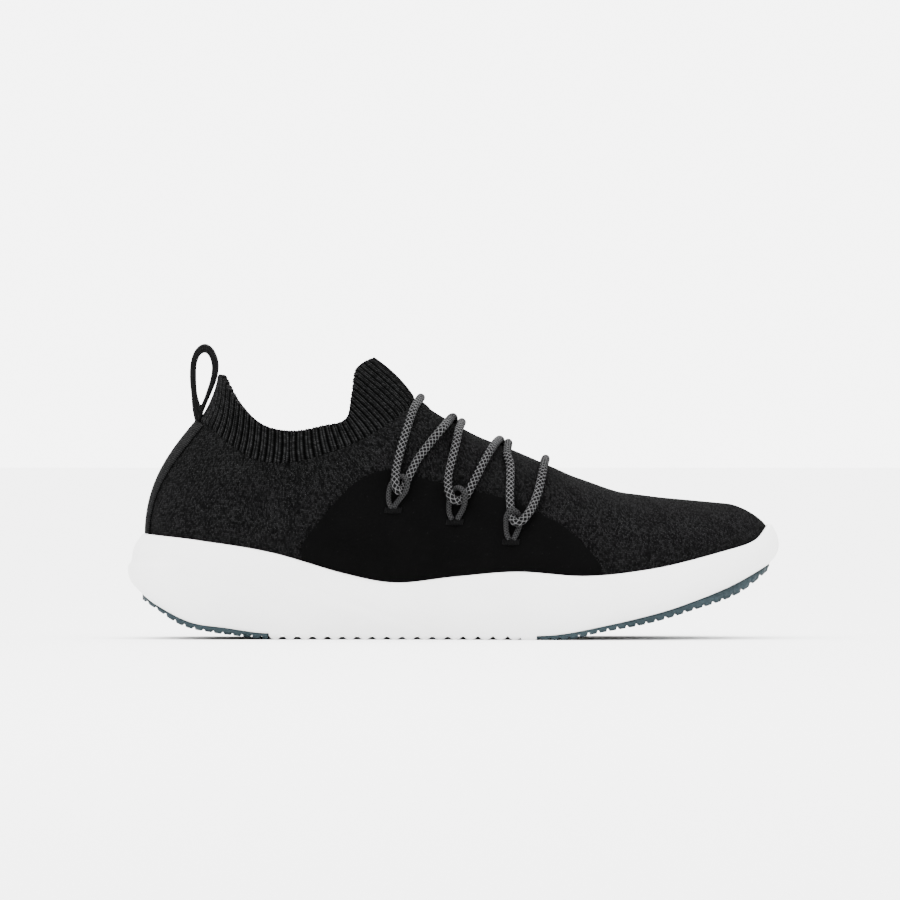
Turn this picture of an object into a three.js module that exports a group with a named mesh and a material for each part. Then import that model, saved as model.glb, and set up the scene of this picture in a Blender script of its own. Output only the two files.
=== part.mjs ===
// A knitted slip-on running shoe for the right foot, with an elastic lace.
// Units are millimetres.  +X points to the toe, +Z up, -Y to the outer (lateral) side.
// The origin is on the ground, under the middle of the sole.
import * as THREE from 'three';
import { mergeVertices } from 'three/addons/utils/BufferGeometryUtils.js';

// ---- driving dimensions ----
const SOLE_LENGTH = 300;
const HALF_LENGTH = SOLE_LENGTH / 2;
const HEEL_ROUND = 38;
const TOE_ROUND = 56;
const GAP = 0.3;
const LAYER_GAP = 0.6;
const LIP = 2.2;
const KNIT = 2.0;
const BOARD = 1.5;
const FOAM = 5.0;
const CLOTH = 0.8;
const UNDER_OVERLAY = 0.4;
const OVERLAY = 1.1;
const TAPE = 1.3;
const TAPE_HALF_WIDTH = 11;
const LACE_RADIUS = 1.9;
const LOOP_CORD_RADIUS = 1.1;
const PULL_LOOP_WIDTH = 11;
const HEEL_PAD_END = -84.5;
const FORE_PAD_START = 37.5;
const RIDGE_FRONT = 125;
const SEAM_SHARE = 0.5;
const HEEL_STEPS = 13;
const FORE_STEPS = 19;

// ---- curves of the last and the sole, as [x, value] ----
const topLine = smooth([[-150, 48], [-116, 44.9], [-83, 39.6], [-50, 30], [-27, 25.8], [0, 28.6],
  [28, 30.9], [61, 29], [94, 32.7], [128, 40.6], [143, 45.5], [150, 52.5]]);
const treadLine = smooth([[-150, 18], [-141, 13.5], [-127, 6.5], [-110, 3.2], [-88, 0.5], [-83, 0], [0, 0],
  [50, 0], [66, 3.2], [89, 7.4], [111, 13.4], [133, 20.7], [150, 32]]);
const padLine = smooth([[-150, 20.5], [-142, 16], [-123, 8.2], [-104, 5.4], [-84, 2.9], [37, 1.9], [50, 2.8],
  [66, 5.8], [86, 10.2], [105, 15.4], [129, 24.1], [150, 34.5]]);
const floorLine = smooth([[-150, 31], [-110, 28], [-60, 20.5], [-27, 16.5], [28, 15.5], [70, 16.5],
  [100, 20.5], [130, 31], [150, 42]]);
const lateralWidth = smooth([[-150, 40], [-110, 42.5], [-60, 39], [-10, 40], [40, 51.5], [70, 53],
  [100, 49.5], [130, 43], [150, 38]]);
const medialWidth = smooth([[-150, 40], [-110, 42.5], [-60, 36.5], [-15, 34], [30, 43], [70, 52.5],
  [100, 52], [130, 47.5], [150, 42]]);
const lipInset = smooth([[-150, 6.6], [-110, 4.6], [-60, 3.2], [60, 3.2], [110, 3.6], [150, 3.4]]);
const ridgeLine = smooth([[-17.5, 109.8], [-11.8, 106.3], [-6.5, 102.9], [0, 99.2], [6.7, 95.4], [14, 91.9],
  [22, 88.9], [28.8, 86.2], [36.2, 83], [47.2, 78.2], [54.6, 74.9], [62, 72.3], [69.4, 69.6], [76.7, 67.4],
  [84, 66.4], [95, 65], [110, 63.6], [125, 62.2]]);

// Matching points of the collar's seam and its top edge, from the back of the heel to the
// front of the tongue.  Each pair is one rib of the knit.
const SEAM = [[-117.3, 0, 100], [-112.5, 14, 97.5], [-102.3, 24.5, 89.2], [-90, 31, 82], [-74, 34, 81],
  [-57, 33, 85.5], [-43, 28.5, 91], [-31, 21.5, 98], [-22, 12, 105], [-17.5, 0, 109.8]];
const EDGE = [[-108.3, 0, 118.5], [-106.8, 9.5, 121.2], [-99, 20, 108.5], [-88, 26.8, 98.5], [-74, 29.5, 95.6],
  [-60, 28.8, 98], [-49.5, 25.3, 101.2], [-46, 20.5, 113], [-43.8, 12, 125], [-36.8, 0, 129.3]];
const LAST_RIB = SEAM.length - 1;
// Where each of those ribs, run on down the side, meets the sole: an angle round the outline.
const footAngle = smooth([[0, 0], [1, 0.3], [2, 0.62], [3, 0.86], [4, 1.06], [5, 1.22], [6, 1.35],
  [7, 1.45], [8, 1.52], [9, 1.58]]);
// How steep the knit stands where it meets the seam, in radians.
const seamSlope = smooth([[0, 0.85], [1, 1.0], [2, 1.2], [4, 1.33], [5, 1.2], [6, 0.9], [7, 0.55], [8, 0.22],
  [9, 0]]);

// ---- plain helpers ----
function smooth(points) {
  const slope = points.map((p, i) => {
    const before = points[Math.max(i - 1, 0)];
    const after = points[Math.min(i + 1, points.length - 1)];
    return (after[1] - before[1]) / (after[0] - before[0]);
  });
  return (x) => {
    const last = points.length - 1;
    if (x <= points[0][0]) return points[0][1];
    if (x >= points[last][0]) return points[last][1];
    const i = points.findIndex((p) => p[0] > x) - 1;
    const [x0, y0] = points[i];
    const [x1, y1] = points[i + 1];
    const w = x1 - x0;
    const t = (x - x0) / w;
    const s = t * t * (3 - 2 * t);
    const rise = t * (1 - t) * (1 - t) * slope[i] - t * t * (1 - t) * slope[i + 1];
    return y0 + (y1 - y0) * s + w * rise;
  };
}

function range(from, to, count) {
  return Array.from({ length: count + 1 }, (_, i) => from + (to - from) * i / count);
}

function mix(a, b, t) {
  return new THREE.Vector3().lerpVectors(a, b, t);
}

// Finds where an increasing function reaches a value.
function solve(f, value, low, high) {
  for (let i = 0; i < 40; i += 1) {
    const middle = (low + high) / 2;
    if (f(middle) < value) low = middle;
    else high = middle;
  }
  return (low + high) / 2;
}

// ---- solids from grids of points ----
function quad(out, a, b, c, d) {
  out.push(a, b, c, a, c, d);
}

// One closed body from triangles: shared corners are merged and flat triangles dropped.
function closedGeometry(corners) {
  const raw = new THREE.BufferGeometry().setFromPoints(corners);
  const merged = mergeVertices(raw, 2e-3);
  const index = merged.index.array;
  const kept = [];
  for (let i = 0; i < index.length; i += 3) {
    const [a, b, c] = [index[i], index[i + 1], index[i + 2]];
    if (a !== b && b !== c && c !== a) kept.push(a, b, c);
  }
  merged.setIndex(kept);
  merged.computeVertexNormals();
  return merged;
}

// A thick sheet between an outer and an inner grid of columns.  hasTopRim says for each pair
// of columns whether the sheet's top edge is open there or closed on its other side.
function sheetGeometry(outer, inner, wraps, hasTopRim = () => true) {
  const corners = [];
  const count = outer.length;
  const top = outer[0].length - 1;
  for (let i = 0; i < (wraps ? count : count - 1); i += 1) {
    const k = (i + 1) % count;
    for (let j = 0; j < top; j += 1) {
      quad(corners, outer[i][j], outer[k][j], outer[k][j + 1], outer[i][j + 1]);
      quad(corners, inner[i][j], inner[i][j + 1], inner[k][j + 1], inner[k][j]);
    }
    quad(corners, outer[i][0], inner[i][0], inner[k][0], outer[k][0]);
    if (hasTopRim(i)) quad(corners, outer[i][top], outer[k][top], inner[k][top], inner[i][top]);
  }
  if (!wraps) {
    for (let j = 0; j < top; j += 1) {
      quad(corners, outer[0][j], outer[0][j + 1], inner[0][j + 1], inner[0][j]);
      const z = count - 1;
      quad(corners, outer[z][j], inner[z][j], inner[z][j + 1], outer[z][j + 1]);
    }
  }
  return closedGeometry(corners);
}

// A body through closed loops of points.  The loops turn so that the faces point out, and the
// ends are 'capped', 'pinched' where both halves of the loop meet, or joined into a 'ring'.
function loopGeometry(loops, ends = 'capped') {
  const corners = [];
  const sides = loops[0].length;
  const steps = ends === 'ring' ? loops.length : loops.length - 1;
  for (let i = 0; i < steps; i += 1) {
    const next = loops[(i + 1) % loops.length];
    for (let j = 0; j < sides; j += 1) {
      const k = (j + 1) % sides;
      quad(corners, loops[i][j], next[j], next[k], loops[i][k]);
    }
  }
  if (ends === 'capped') {
    capLoop(corners, loops[0], false);
    capLoop(corners, loops[loops.length - 1], true);
  }
  return closedGeometry(corners);
}

// Closes a loop with rungs between its two halves.
function capLoop(corners, loop, atEnd) {
  const n = loop.length;
  for (let j = 0; j < n / 2 - 1; j += 1) {
    const rung = [loop[j], loop[j + 1], loop[n - 2 - j], loop[n - 1 - j]];
    if (atEnd) rung.reverse();
    quad(corners, ...rung);
  }
}

// A round cord along a curve.
function cordGeometry(curve, radius, sides, steps, ring = false) {
  const frames = curve.computeFrenetFrames(steps, ring);
  const loops = [];
  for (let i = 0; i < (ring ? steps : steps + 1); i += 1) {
    const centre = curve.getPointAt(i / steps);
    loops.push(Array.from({ length: sides }, (_, j) => {
      const angle = 2 * Math.PI * (j + 0.5) / sides;
      return centre.clone()
        .addScaledVector(frames.normals[i], radius * Math.cos(angle))
        .addScaledVector(frames.binormals[i], radius * Math.sin(angle));
    }));
  }
  return loopGeometry(loops.map((loop) => loop.reverse()), ring ? 'ring' : 'capped');
}

// ---- the sole's outline, from above ----
// side is -1 for lateral, +1 for medial; angle runs from 0 at the heel to PI at the toe.
function outlineX(angle) {
  return -HALF_LENGTH * Math.cos(angle);
}

function endRounding(distance, round, power) {
  if (distance >= round) return 1;
  const u = 1 - distance / round;
  return Math.pow(Math.max(0, 1 - Math.pow(u, power)), 1 / power);
}

function rawOutline(side, angle) {
  const x = outlineX(angle);
  const width = side < 0 ? lateralWidth(x) : medialWidth(x);
  const heel = endRounding(x + HALF_LENGTH, HEEL_ROUND, 2.1);
  const toe = endRounding(HALF_LENGTH - x, TOE_ROUND, 2.1);
  return new THREE.Vector3(x, side * width * heel * toe, 0);
}

function outline(side, angle, inset) {
  if (angle <= 0 || angle >= Math.PI) {
    const end = angle <= 0 ? 1 : -1;
    return new THREE.Vector3(outlineX(angle) + end * inset, 0, 0);
  }
  const step = 0.01;
  const ahead = rawOutline(side, Math.min(Math.PI, angle + step));
  const behind = rawOutline(side, Math.max(0, angle - step));
  const along = ahead.sub(behind).normalize();
  const inward = new THREE.Vector3(-along.y, along.x, 0).multiplyScalar(-side);
  return rawOutline(side, angle).addScaledVector(inward, inset);
}

function wallInset(angle) {
  return lipInset(outlineX(angle)) + LIP;
}

function treadInset(angle) {
  return 2 + 0.7 * lipInset(outlineX(angle));
}

function soleAngles(fromX, toX, count) {
  return range(Math.acos(-fromX / HALF_LENGTH), Math.acos(-toX / HALF_LENGTH), count);
}

function raised(point, z) {
  return new THREE.Vector3(point.x, point.y, z);
}

// ---- the knitted upper as a surface ----
// A place on it is (side, s, v): s runs from the heel, 0, to the toe, 1, and v from the lip of
// the sole, 0, to the collar's seam or the ridge of the instep, 1.
const seamCurve = ribCurve(SEAM);
const edgeCurve = ribCurve(EDGE);

function ribCurve(points) {
  const lateral = points.map(([x, y, z]) => new THREE.Vector3(x, -y, z));
  const medial = points.slice(1, -1).reverse().map(([x, y, z]) => new THREE.Vector3(x, y, z));
  return new THREE.CatmullRomCurve3([...lateral, ...medial], true, 'catmullrom', 0.5);
}

function ribPoint(curve, side, s) {
  const t = s / SEAM_SHARE / 2;
  return curve.getPoint(side < 0 ? t : (1 - t) % 1);
}

function columnAngle(s) {
  if (s <= SEAM_SHARE) return footAngle(LAST_RIB * s / SEAM_SHARE);
  const start = footAngle(LAST_RIB);
  return start + (Math.PI - start) * (s - SEAM_SHARE) / (1 - SEAM_SHARE);
}

function ridgePoint(s) {
  const start = outlineX(columnAngle(SEAM_SHARE));
  const share = (outlineX(columnAngle(s)) - start) / (HALF_LENGTH - start);
  const x = SEAM[LAST_RIB][0] + (RIDGE_FRONT - SEAM[LAST_RIB][0]) * share;
  return new THREE.Vector3(x, 0, ridgeLine(x));
}

function lipPoint(side, s) {
  const angle = columnAngle(s);
  return raised(outline(side, angle, wallInset(angle) + GAP), topLine(outlineX(angle)) - 1);
}

function columnTop(side, s) {
  return s <= SEAM_SHARE ? ribPoint(seamCurve, side, s) : ridgePoint(s);
}

// How far a column belongs to the low slope at the tip of the toe, 0 to 1.
function toeShare(s) {
  return Math.pow(Math.max(s - SEAM_SHARE, 0) / (1 - SEAM_SHARE), 6);
}

// The two inner control points of a column's curve.
function columnHandles(side, s, foot, top) {
  const slope = s <= SEAM_SHARE ? seamSlope(LAST_RIB * s / SEAM_SHARE) : 0;
  const out = new THREE.Vector3(foot.x - top.x, foot.y - top.y, 0);
  const across = (0.62 - 0.2 * toeShare(s)) * out.length() * Math.cos(slope);
  const reach = across + 0.36 * (top.z - foot.z) * Math.sin(slope);
  out.normalize();
  const high = top.clone().addScaledVector(out, reach * Math.cos(slope));
  high.z -= reach * Math.sin(slope);
  if (s > SEAM_SHARE) {
    high.z += ridgeFall(top.x) * (high.x - top.x);
  }
  const stand = s <= SEAM_SHARE ? 0.4 + 0.2 * Math.pow(s / SEAM_SHARE, 4) : 0.6 - 0.45 * toeShare(s);
  const low = foot.clone();
  low.z += stand * (top.z - foot.z);
  return [low, high];
}

function upper(side, s, v) {
  const foot = lipPoint(side, s);
  if (v < 0) {
    const floor = floorLine(outlineX(columnAngle(s))) + GAP + BOARD + GAP;
    return raised(foot, foot.z + (foot.z - floor) * v);
  }
  const top = columnTop(side, s);
  const [low, high] = columnHandles(side, s, foot, top);
  const curve = new THREE.CubicBezierCurve3(foot, low, high, top);
  return curve.getPoint(v);
}

function ridgeFall(x) {
  return (ridgeLine(x + 1) - ridgeLine(x - 1)) / 2;
}

function upperNormal(side, s, v) {
  if (v >= 1 && s >= SEAM_SHARE) {
    return new THREE.Vector3(-ridgeFall(ridgePoint(s).x), 0, 1).normalize();
  }
  const step = 0.004;
  const a = Math.min(Math.max(s, 2 * step), 1 - 2 * step);
  const b = Math.min(v, 1 - 2 * step);
  const along = upper(side, a + step, b).sub(upper(side, a - step, b));
  const up = upper(side, a, b + step).sub(upper(side, a, b - step));
  const normal = along.cross(up).multiplyScalar(-side);
  if (s <= 0 || s >= 1) normal.y = 0;
  return normal.normalize();
}

function offUpper(side, s, v, height) {
  return upper(side, s, v).addScaledVector(upperNormal(side, s, v), height);
}

// The place on the upper that a side view shows at (x, z).
function placeAt(side, x, z) {
  const columnAt = (v) => solve((s) => upper(side, s, v).x, x, 0.02, 0.98);
  const v = solve((v) => upper(side, columnAt(v), v).z, z, 0, 0.999);
  return [columnAt(v), v];
}

function above(side, x, z, height) {
  const [s, v] = placeAt(side, x, z);
  return offUpper(side, s, v, height);
}

// ---- meshes ----
const shoe = new THREE.Group();

function add(name, geometry, color, roughness) {
  const material = new THREE.MeshStandardMaterial({ color, roughness, metalness: 0 });
  const mesh = new THREE.Mesh(geometry, material);
  mesh.name = name;
  shoe.add(mesh);
}

const WHITE_FOAM = '#eeeeec';
const SLATE = '#4b626c';
const KNIT_BLACK = '#212121';
const RIB_BLACK = '#181818';
const OVERLAY_BLACK = '#0c0c0c';
const TAPE_GREY = '#2b2b2b';
const LACE_GREY = '#4a4a4a';
const CORD_GREY = '#3a3a3a';
const LINING_GREY = '#2a2a2c';
const BOARD_WHITE = '#c9c7c0';

// ---- sole ----
// One side of the midsole's section, from the bottom edge over the lip to the cavity floor.
function midsoleWall(side, angle, bottom) {
  const x = outlineX(angle);
  const inset = lipInset(x);
  const top = topLine(x);
  const level = (share) => padLine(x) + share * (top - padLine(x));
  return [
    raised(outline(side, angle, treadInset(angle)), bottom),
    raised(outline(side, angle, 1.2), level(0.22)),
    raised(outline(side, angle, 0), level(0.46)),
    raised(outline(side, angle, 0.3 * inset), level(0.75)),
    raised(outline(side, angle, inset), top),
    raised(outline(side, angle, inset + LIP), top),
    raised(outline(side, angle, inset + LIP), floorLine(x)),
  ];
}

function across(from, to, count) {
  return range(0, 1, count).slice(1, -1).map((t) => mix(from, to, t));
}

function midsoleLoop(angle, bottom) {
  const lateral = midsoleWall(-1, angle, bottom);
  const medial = midsoleWall(1, angle, bottom).reverse();
  const floor = across(lateral[lateral.length - 1], medial[0], 3);
  const base = across(medial[medial.length - 1], lateral[0], 3);
  return [...lateral, ...floor, ...medial, ...base];
}

// The pads sit in steps of the midsole, which reaches the ground between them.
const PAD_CLEARANCE = 0.4;
const STEP_WIDTH = 0.1;
const HEEL_ANGLES = soleAngles(-HALF_LENGTH, HEEL_PAD_END + PAD_CLEARANCE, HEEL_STEPS);
const MIDDLE_ANGLES = soleAngles(HEEL_PAD_END + PAD_CLEARANCE + STEP_WIDTH,
  FORE_PAD_START - PAD_CLEARANCE - STEP_WIDTH, 14);
const FORE_ANGLES = soleAngles(FORE_PAD_START - PAD_CLEARANCE, HALF_LENGTH, FORE_STEPS);

function addMidsole() {
  const overPad = (angle) => midsoleLoop(angle, padLine(outlineX(angle)));
  const onGround = (angle) => midsoleLoop(angle, 0);
  const loops = [...HEEL_ANGLES.map(overPad), ...MIDDLE_ANGLES.map(onGround), ...FORE_ANGLES.map(overPad)];
  add('midsole', loopGeometry(loops, 'pinched'), WHITE_FOAM, 0.75);
}

// A slab between two heights that follows the outline, rounded at whichever end is closed.
function slabGeometry(angles, inset, bottomAt, topAt) {
  const loops = angles.map((angle) => {
    const x = outlineX(angle);
    const lateral = outline(-1, angle, inset(angle));
    const medial = outline(1, angle, inset(angle));
    const row = (z) => [lateral, ...across(lateral, medial, 4), medial].map((p) => raised(p, z));
    return [...row(bottomAt(x)), ...row(topAt(x)).reverse()].reverse();
  });
  return loopGeometry(loops);
}

function addOutsoles() {
  const top = (x) => padLine(x) - GAP;
  const bottom = (x) => Math.max(treadLine(x), 0);
  const heel = soleAngles(-HALF_LENGTH, HEEL_PAD_END, HEEL_STEPS);
  const fore = soleAngles(FORE_PAD_START, HALF_LENGTH, FORE_STEPS);
  add('heel_outsole', slabGeometry(heel, treadInset, bottom, top), SLATE, 0.7);
  add('forefoot_outsole', slabGeometry(fore, treadInset, bottom, top), SLATE, 0.7);
}

function addFootbed() {
  const whole = [...HEEL_ANGLES, ...MIDDLE_ANGLES, ...FORE_ANGLES];
  const coarse = soleAngles(-HALF_LENGTH, HALF_LENGTH, 26);
  const board = (angle) => wallInset(angle) + GAP;
  const liner = (angle) => wallInset(angle) + GAP + KNIT + LAYER_GAP;
  const layer = (low, thick) => [(x) => floorLine(x) + low, (x) => floorLine(x) + low + thick];
  const foamLow = GAP + BOARD + GAP;
  const clothLow = foamLow + FOAM + GAP;
  add('strobel_board', slabGeometry(whole, board, ...layer(GAP, BOARD)), BOARD_WHITE, 0.9);
  add('sockliner_foam', slabGeometry(coarse, liner, ...layer(foamLow, FOAM)), BOARD_WHITE, 0.9);
  add('sockliner_cloth', slabGeometry(coarse, liner, ...layer(clothLow, CLOTH)), LINING_GREY, 0.95);
}

// ---- upper ----
function ringColumns(perSide) {
  const out = range(0, 1, perSide).map((s) => [-1, s]);
  const back = range(0, 1, perSide).slice(1, -1).reverse().map((s) => [1, s]);
  return [...out, ...back];
}

function addKnitBody() {
  const perSide = 34;
  const rows = [-1, -0.4, ...range(0, 1, 9)];
  const columns = ringColumns(perSide);
  const outer = columns.map(([side, s]) => rows.map((v) => upper(side, s, v)));
  const inner = columns.map(([side, s]) => rows.map((v) => offUpper(side, s, v, -KNIT)));
  const isSeam = (i) => {
    const next = columns[(i + 1) % columns.length];
    return columns[i][1] <= SEAM_SHARE && next[1] <= SEAM_SHARE;
  };
  add('knit_body', sheetGeometry(outer, inner, true, isSeam), KNIT_BLACK, 0.95);
}

// How far the front of the tongue stands out from a straight line, doubled.
const TONGUE_BULGE = new THREE.Vector3(2.5, 0, 2.3);

function collarPoint(side, s, v) {
  const seam = ribPoint(seamCurve, side, s);
  const edge = ribPoint(edgeCurve, side, s);
  const below = upper(side, s, 0.9);
  const lean = seam.clone().sub(below).normalize();
  const start = seam.clone().addScaledVector(lean, LAYER_GAP);
  const onward = start.clone().addScaledVector(lean, 0.4 * seam.distanceTo(edge));
  const tongue = Math.pow(s / SEAM_SHARE, 6);
  const handle = mix(onward, mix(start, edge, 0.5).add(TONGUE_BULGE), tongue);
  return new THREE.QuadraticBezierCurve3(start, handle, edge).getPoint(v);
}

function collarNormal(side, s, v) {
  const step = 0.01;
  const a = Math.min(Math.max(s, step), SEAM_SHARE - step);
  const b = Math.min(Math.max(v, step), 1 - step);
  const along = collarPoint(side, a + step, b).sub(collarPoint(side, a - step, b));
  const up = collarPoint(side, a, b + step).sub(collarPoint(side, a, b - step));
  const normal = along.cross(up).multiplyScalar(-side);
  if (s <= 0 || s >= SEAM_SHARE) normal.y = 0;
  return normal.normalize();
}

function addRibCollar() {
  const columns = ringColumns(22).map(([side, s]) => [side, s * SEAM_SHARE]);
  const rows = range(0, 1, 4);
  const outer = columns.map(([side, s]) => rows.map((v) => collarPoint(side, s, v)));
  const inner = columns.map(([side, s]) => rows.map((v) => (
    collarPoint(side, s, v).addScaledVector(collarNormal(side, s, v), -KNIT))));
  add('rib_collar', sheetGeometry(outer, inner, true), RIB_BLACK, 0.95);
}

// A sheet that follows the upper between two heights over it.
function patchGeometry(columns, rowsOf, low, high) {
  const grid = (height) => columns.map(([side, s]) => (
    rowsOf(side, s).map((v) => offUpper(side, s, v, height))));
  return sheetGeometry(grid(high), grid(low), false);
}

const overlayTop = smooth([[-71.5, 38.4], [-69.5, 43], [-58, 58.2], [-49, 68], [-43, 73], [-33, 77], [-25, 76.2],
  [-7.5, 71.9], [10, 67.5], [22, 64.6], [31, 61.2], [39, 57.3], [49, 52.4], [56.5, 46.1], [63.4, 38.9], [69, 31.5]]);

function addOverlays() {
  for (const [name, side] of [['lateral_overlay', -1], ['medial_overlay', 1]]) {
    const startS = placeAt(side, -67, 38.6)[0];
    const endS = placeAt(side, 66, 32.5)[0];
    const columns = range(startS, endS, 22).map((s) => [side, s]);
    if (side > 0) columns.reverse();
    const rowsOf = (_, s) => {
      const over = (v) => upper(side, s, v).z - overlayTop(upper(side, s, v).x);
      const top = Math.max(0.11, solve(over, 0, 0.03, 0.98));
      return range(0.055, top, 5);
    };
    const geometry = patchGeometry(columns, rowsOf, UNDER_OVERLAY, UNDER_OVERLAY + OVERLAY);
    add(name, geometry, OVERLAY_BLACK, 0.8);
  }
}

// Columns round the heel, from the medial side to the lateral side.
function heelColumns(reach, perSide) {
  const medial = range(reach, 0, perSide).map((s) => [1, s]);
  const lateral = range(0, reach, perSide).slice(1).map((s) => [-1, s]);
  return [...medial, ...lateral];
}

function addHeelPieces() {
  const counterRows = (_, s) => range(0.03, 0.78 - 6 * s * s, 6);
  const liningRows = () => range(0.03, 0.95, 6);
  const counterHigh = -KNIT - LAYER_GAP;
  const counterLow = counterHigh - 1.2;
  const counter = patchGeometry(heelColumns(0.24, 7), counterRows, counterLow, counterHigh);
  add('heel_counter', counter, BOARD_WHITE, 0.6);
  const liningHigh = counterLow - LAYER_GAP;
  const lining = patchGeometry(heelColumns(0.36, 10), liningRows, liningHigh - 1, liningHigh);
  add('heel_lining', lining, LINING_GREY, 0.95);
  addHeelTape();
}

function addHeelTape() {
  const rows = range(0.05, 0.965, 9);
  const shares = range(-1, 1, 4);
  const place = (share, v) => {
    const side = share > 0 ? 1 : -1;
    const reach = solve((s) => Math.abs(upper(side, s, v).y), TAPE_HALF_WIDTH * Math.abs(share), 0, 0.3);
    return share === 0 ? [side, 0] : [side, reach];
  };
  const grid = (height) => shares.map((share) => rows.map((v) => {
    const [side, s] = place(-share, v);
    return offUpper(side, s, v, height);
  }));
  add('heel_tape', sheetGeometry(grid(UNDER_OVERLAY + TAPE), grid(UNDER_OVERLAY), false), TAPE_GREY, 0.9);
}

function addToePuff() {
  const reach = 0.8;
  const lateral = range(reach, 1, 8).map((s) => [-1, s]);
  const medial = range(1, reach, 8).slice(1).map((s) => [1, s]);
  const rows = () => range(0.2, 0.8, 4);
  const high = -KNIT - LAYER_GAP;
  const geometry = patchGeometry([...lateral, ...medial], rows, high - 0.8, high);
  add('toe_puff', geometry, BOARD_WHITE, 0.6);
}

// ---- pull loop ----
// The band's outer and inner face in the side view, as matching (x, z) points from its root up
// the back, over the top and down along the collar.
const BAND_OUTSIDE = [[-118.3, 102.5], [-119.8, 107], [-120.9, 112.5], [-121.5, 119], [-121.3, 126],
  [-119.8, 131.5], [-117, 134.9], [-113.9, 135.6], [-110.9, 133.6], [-108.9, 129.6], [-108.2, 125.2],
  [-109.6, 120], [-112.2, 114.5], [-115.9, 106.2]];
const BAND_INSIDE = [[-116.9, 108.4], [-117.6, 110.4], [-118.2, 113], [-118.6, 118.5], [-118.5, 125.4],
  [-117.4, 129.4], [-115.9, 131.1], [-114.2, 131.4], [-112.7, 129.9], [-111.7, 127.2], [-111.4, 123.6],
  [-112.2, 118.8], [-114, 113.8], [-115.8, 109.6]];

function addPullLoop() {
  const face = (points) => {
    const corners = points.map(([x, z]) => new THREE.Vector3(x, 0, z));
    return new THREE.CatmullRomCurve3(corners, true, 'catmullrom', 0.5);
  };
  const outside = face(BAND_OUTSIDE);
  const inside = face(BAND_INSIDE);
  const half = new THREE.Vector3(0, PULL_LOOP_WIDTH / 2, 0);
  const steps = 3 * BAND_OUTSIDE.length;
  const sections = range(0, 1, steps).slice(0, -1).map((t) => {
    const [far, near] = [outside.getPoint(t), inside.getPoint(t)];
    return [near.clone().sub(half), far.clone().sub(half), far.clone().add(half), near.clone().add(half)];
  });
  add('pull_loop', loopGeometry(sections, 'ring'), TAPE_GREY, 0.9);
}

// ---- lace and its loops ----
const ON_OVERLAY = UNDER_OVERLAY + OVERLAY + GAP;
const CORD_HEIGHT = ON_OVERLAY + LOOP_CORD_RADIUS;
const LACE_ON_CORD = CORD_HEIGHT + LOOP_CORD_RADIUS + LACE_RADIUS + LAYER_GAP;
const LACE_ON_KNIT = LACE_RADIUS + 1.9;
const CROSSING_RISE = 2 * LACE_RADIUS + LAYER_GAP;

// Strands of the lace as (x, z, height over the knit), from the ridge down to a loop for
// STRAND_IN and from a loop back to the ridge for STRAND_OUT.
const STRAND_IN = [
  [[-18.2, 107, LACE_ON_KNIT], [-20.8, 97, LACE_ON_KNIT], [-24, 86, LACE_ON_KNIT], [-26.2, 76, 4],
    [-26.9, 70, LACE_ON_CORD]],
  [[1.8, 93, LACE_ON_KNIT], [-0.6, 82.9, LACE_ON_KNIT], [-2.3, 75, 4.4], [-1.6, 69, LACE_ON_CORD]],
  [[25.4, 83, LACE_ON_KNIT], [26.1, 73.5, LACE_ON_KNIT], [25.7, 66, 4.6], [25.4, 60.5, LACE_ON_CORD]],
];
const STRAND_OUT = [
  [[-24.2, 66.2, LACE_ON_CORD], [-22, 69.5, LACE_ON_CORD], [-19.6, 76, 4.4], [-14.5, 85, LACE_ON_KNIT],
    [-9.5, 91.5, 4.6], [-5.5, 96.5, 4.8]],
  [[1, 65.3, LACE_ON_CORD], [4.4, 66.6, LACE_ON_CORD], [7.4, 70.5, 5], [11, 75.5, LACE_ON_KNIT],
    [16.5, 85.5, LACE_ON_KNIT]],
  [[27.9, 56, LACE_ON_CORD], [31.5, 56, LACE_ON_CORD], [35, 60, 4.6], [38, 66, LACE_ON_KNIT],
    [41, 77, LACE_ON_KNIT]],
];
const RIDGE_X = { top: -16, first: -0.5, second: 21, bottom: 42 };

function ridgeAt(x, height) {
  const s = solve((s) => ridgePoint(s).x, x, SEAM_SHARE, 1);
  return offUpper(-1, s, 1, height);
}

function strand(side, points) {
  return points.map(([x, z, height]) => above(side, x, z, height));
}

function lacePoints() {
  const down = (side, i) => strand(side, STRAND_IN[i]);
  const up = (side, i) => strand(side, STRAND_OUT[i]);
  const back = (points) => points.reverse();
  const low = LACE_ON_KNIT;
  return [
    ridgeAt(RIDGE_X.top, low + 0.3),
    ...down(-1, 0), ...up(-1, 0), ridgeAt(RIDGE_X.first, low),
    ...down(1, 1), ...up(1, 1), ridgeAt(RIDGE_X.second, low + CROSSING_RISE),
    ...down(-1, 2), ...up(-1, 2), ridgeAt(RIDGE_X.bottom, low + 0.3),
    ...back(up(1, 2)), ...back(down(1, 2)), ridgeAt(RIDGE_X.second, low),
    ...back(up(-1, 1)), ...back(down(-1, 1)), ridgeAt(RIDGE_X.first, low + CROSSING_RISE),
    ...back(up(1, 0)), ...back(down(1, 0)),
  ];
}

function addLace() {
  const curve = new THREE.CatmullRomCurve3(lacePoints(), true, 'centripetal');
  curve.arcLengthDivisions = 2000;
  add('lace', cordGeometry(curve, LACE_RADIUS, 6, 120, true), LACE_GREY, 0.8);
}

// Each cord loop: its left foot, its top, its right foot and the tack that sews it down.
const CORD_LOOPS = [
  { left: [-30.2, 62.2], top: [-25.6, 72], right: [-24.6, 61.4], tack: [-27.4, 58.6] },
  { left: [-2.6, 56.6], top: [1.4, 70], right: [3.2, 56], tack: [0.4, 52.9] },
  { left: [23.2, 48.4], top: [27.2, 61], right: [28.8, 46.8], tack: [26, 43.6] },
];

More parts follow.
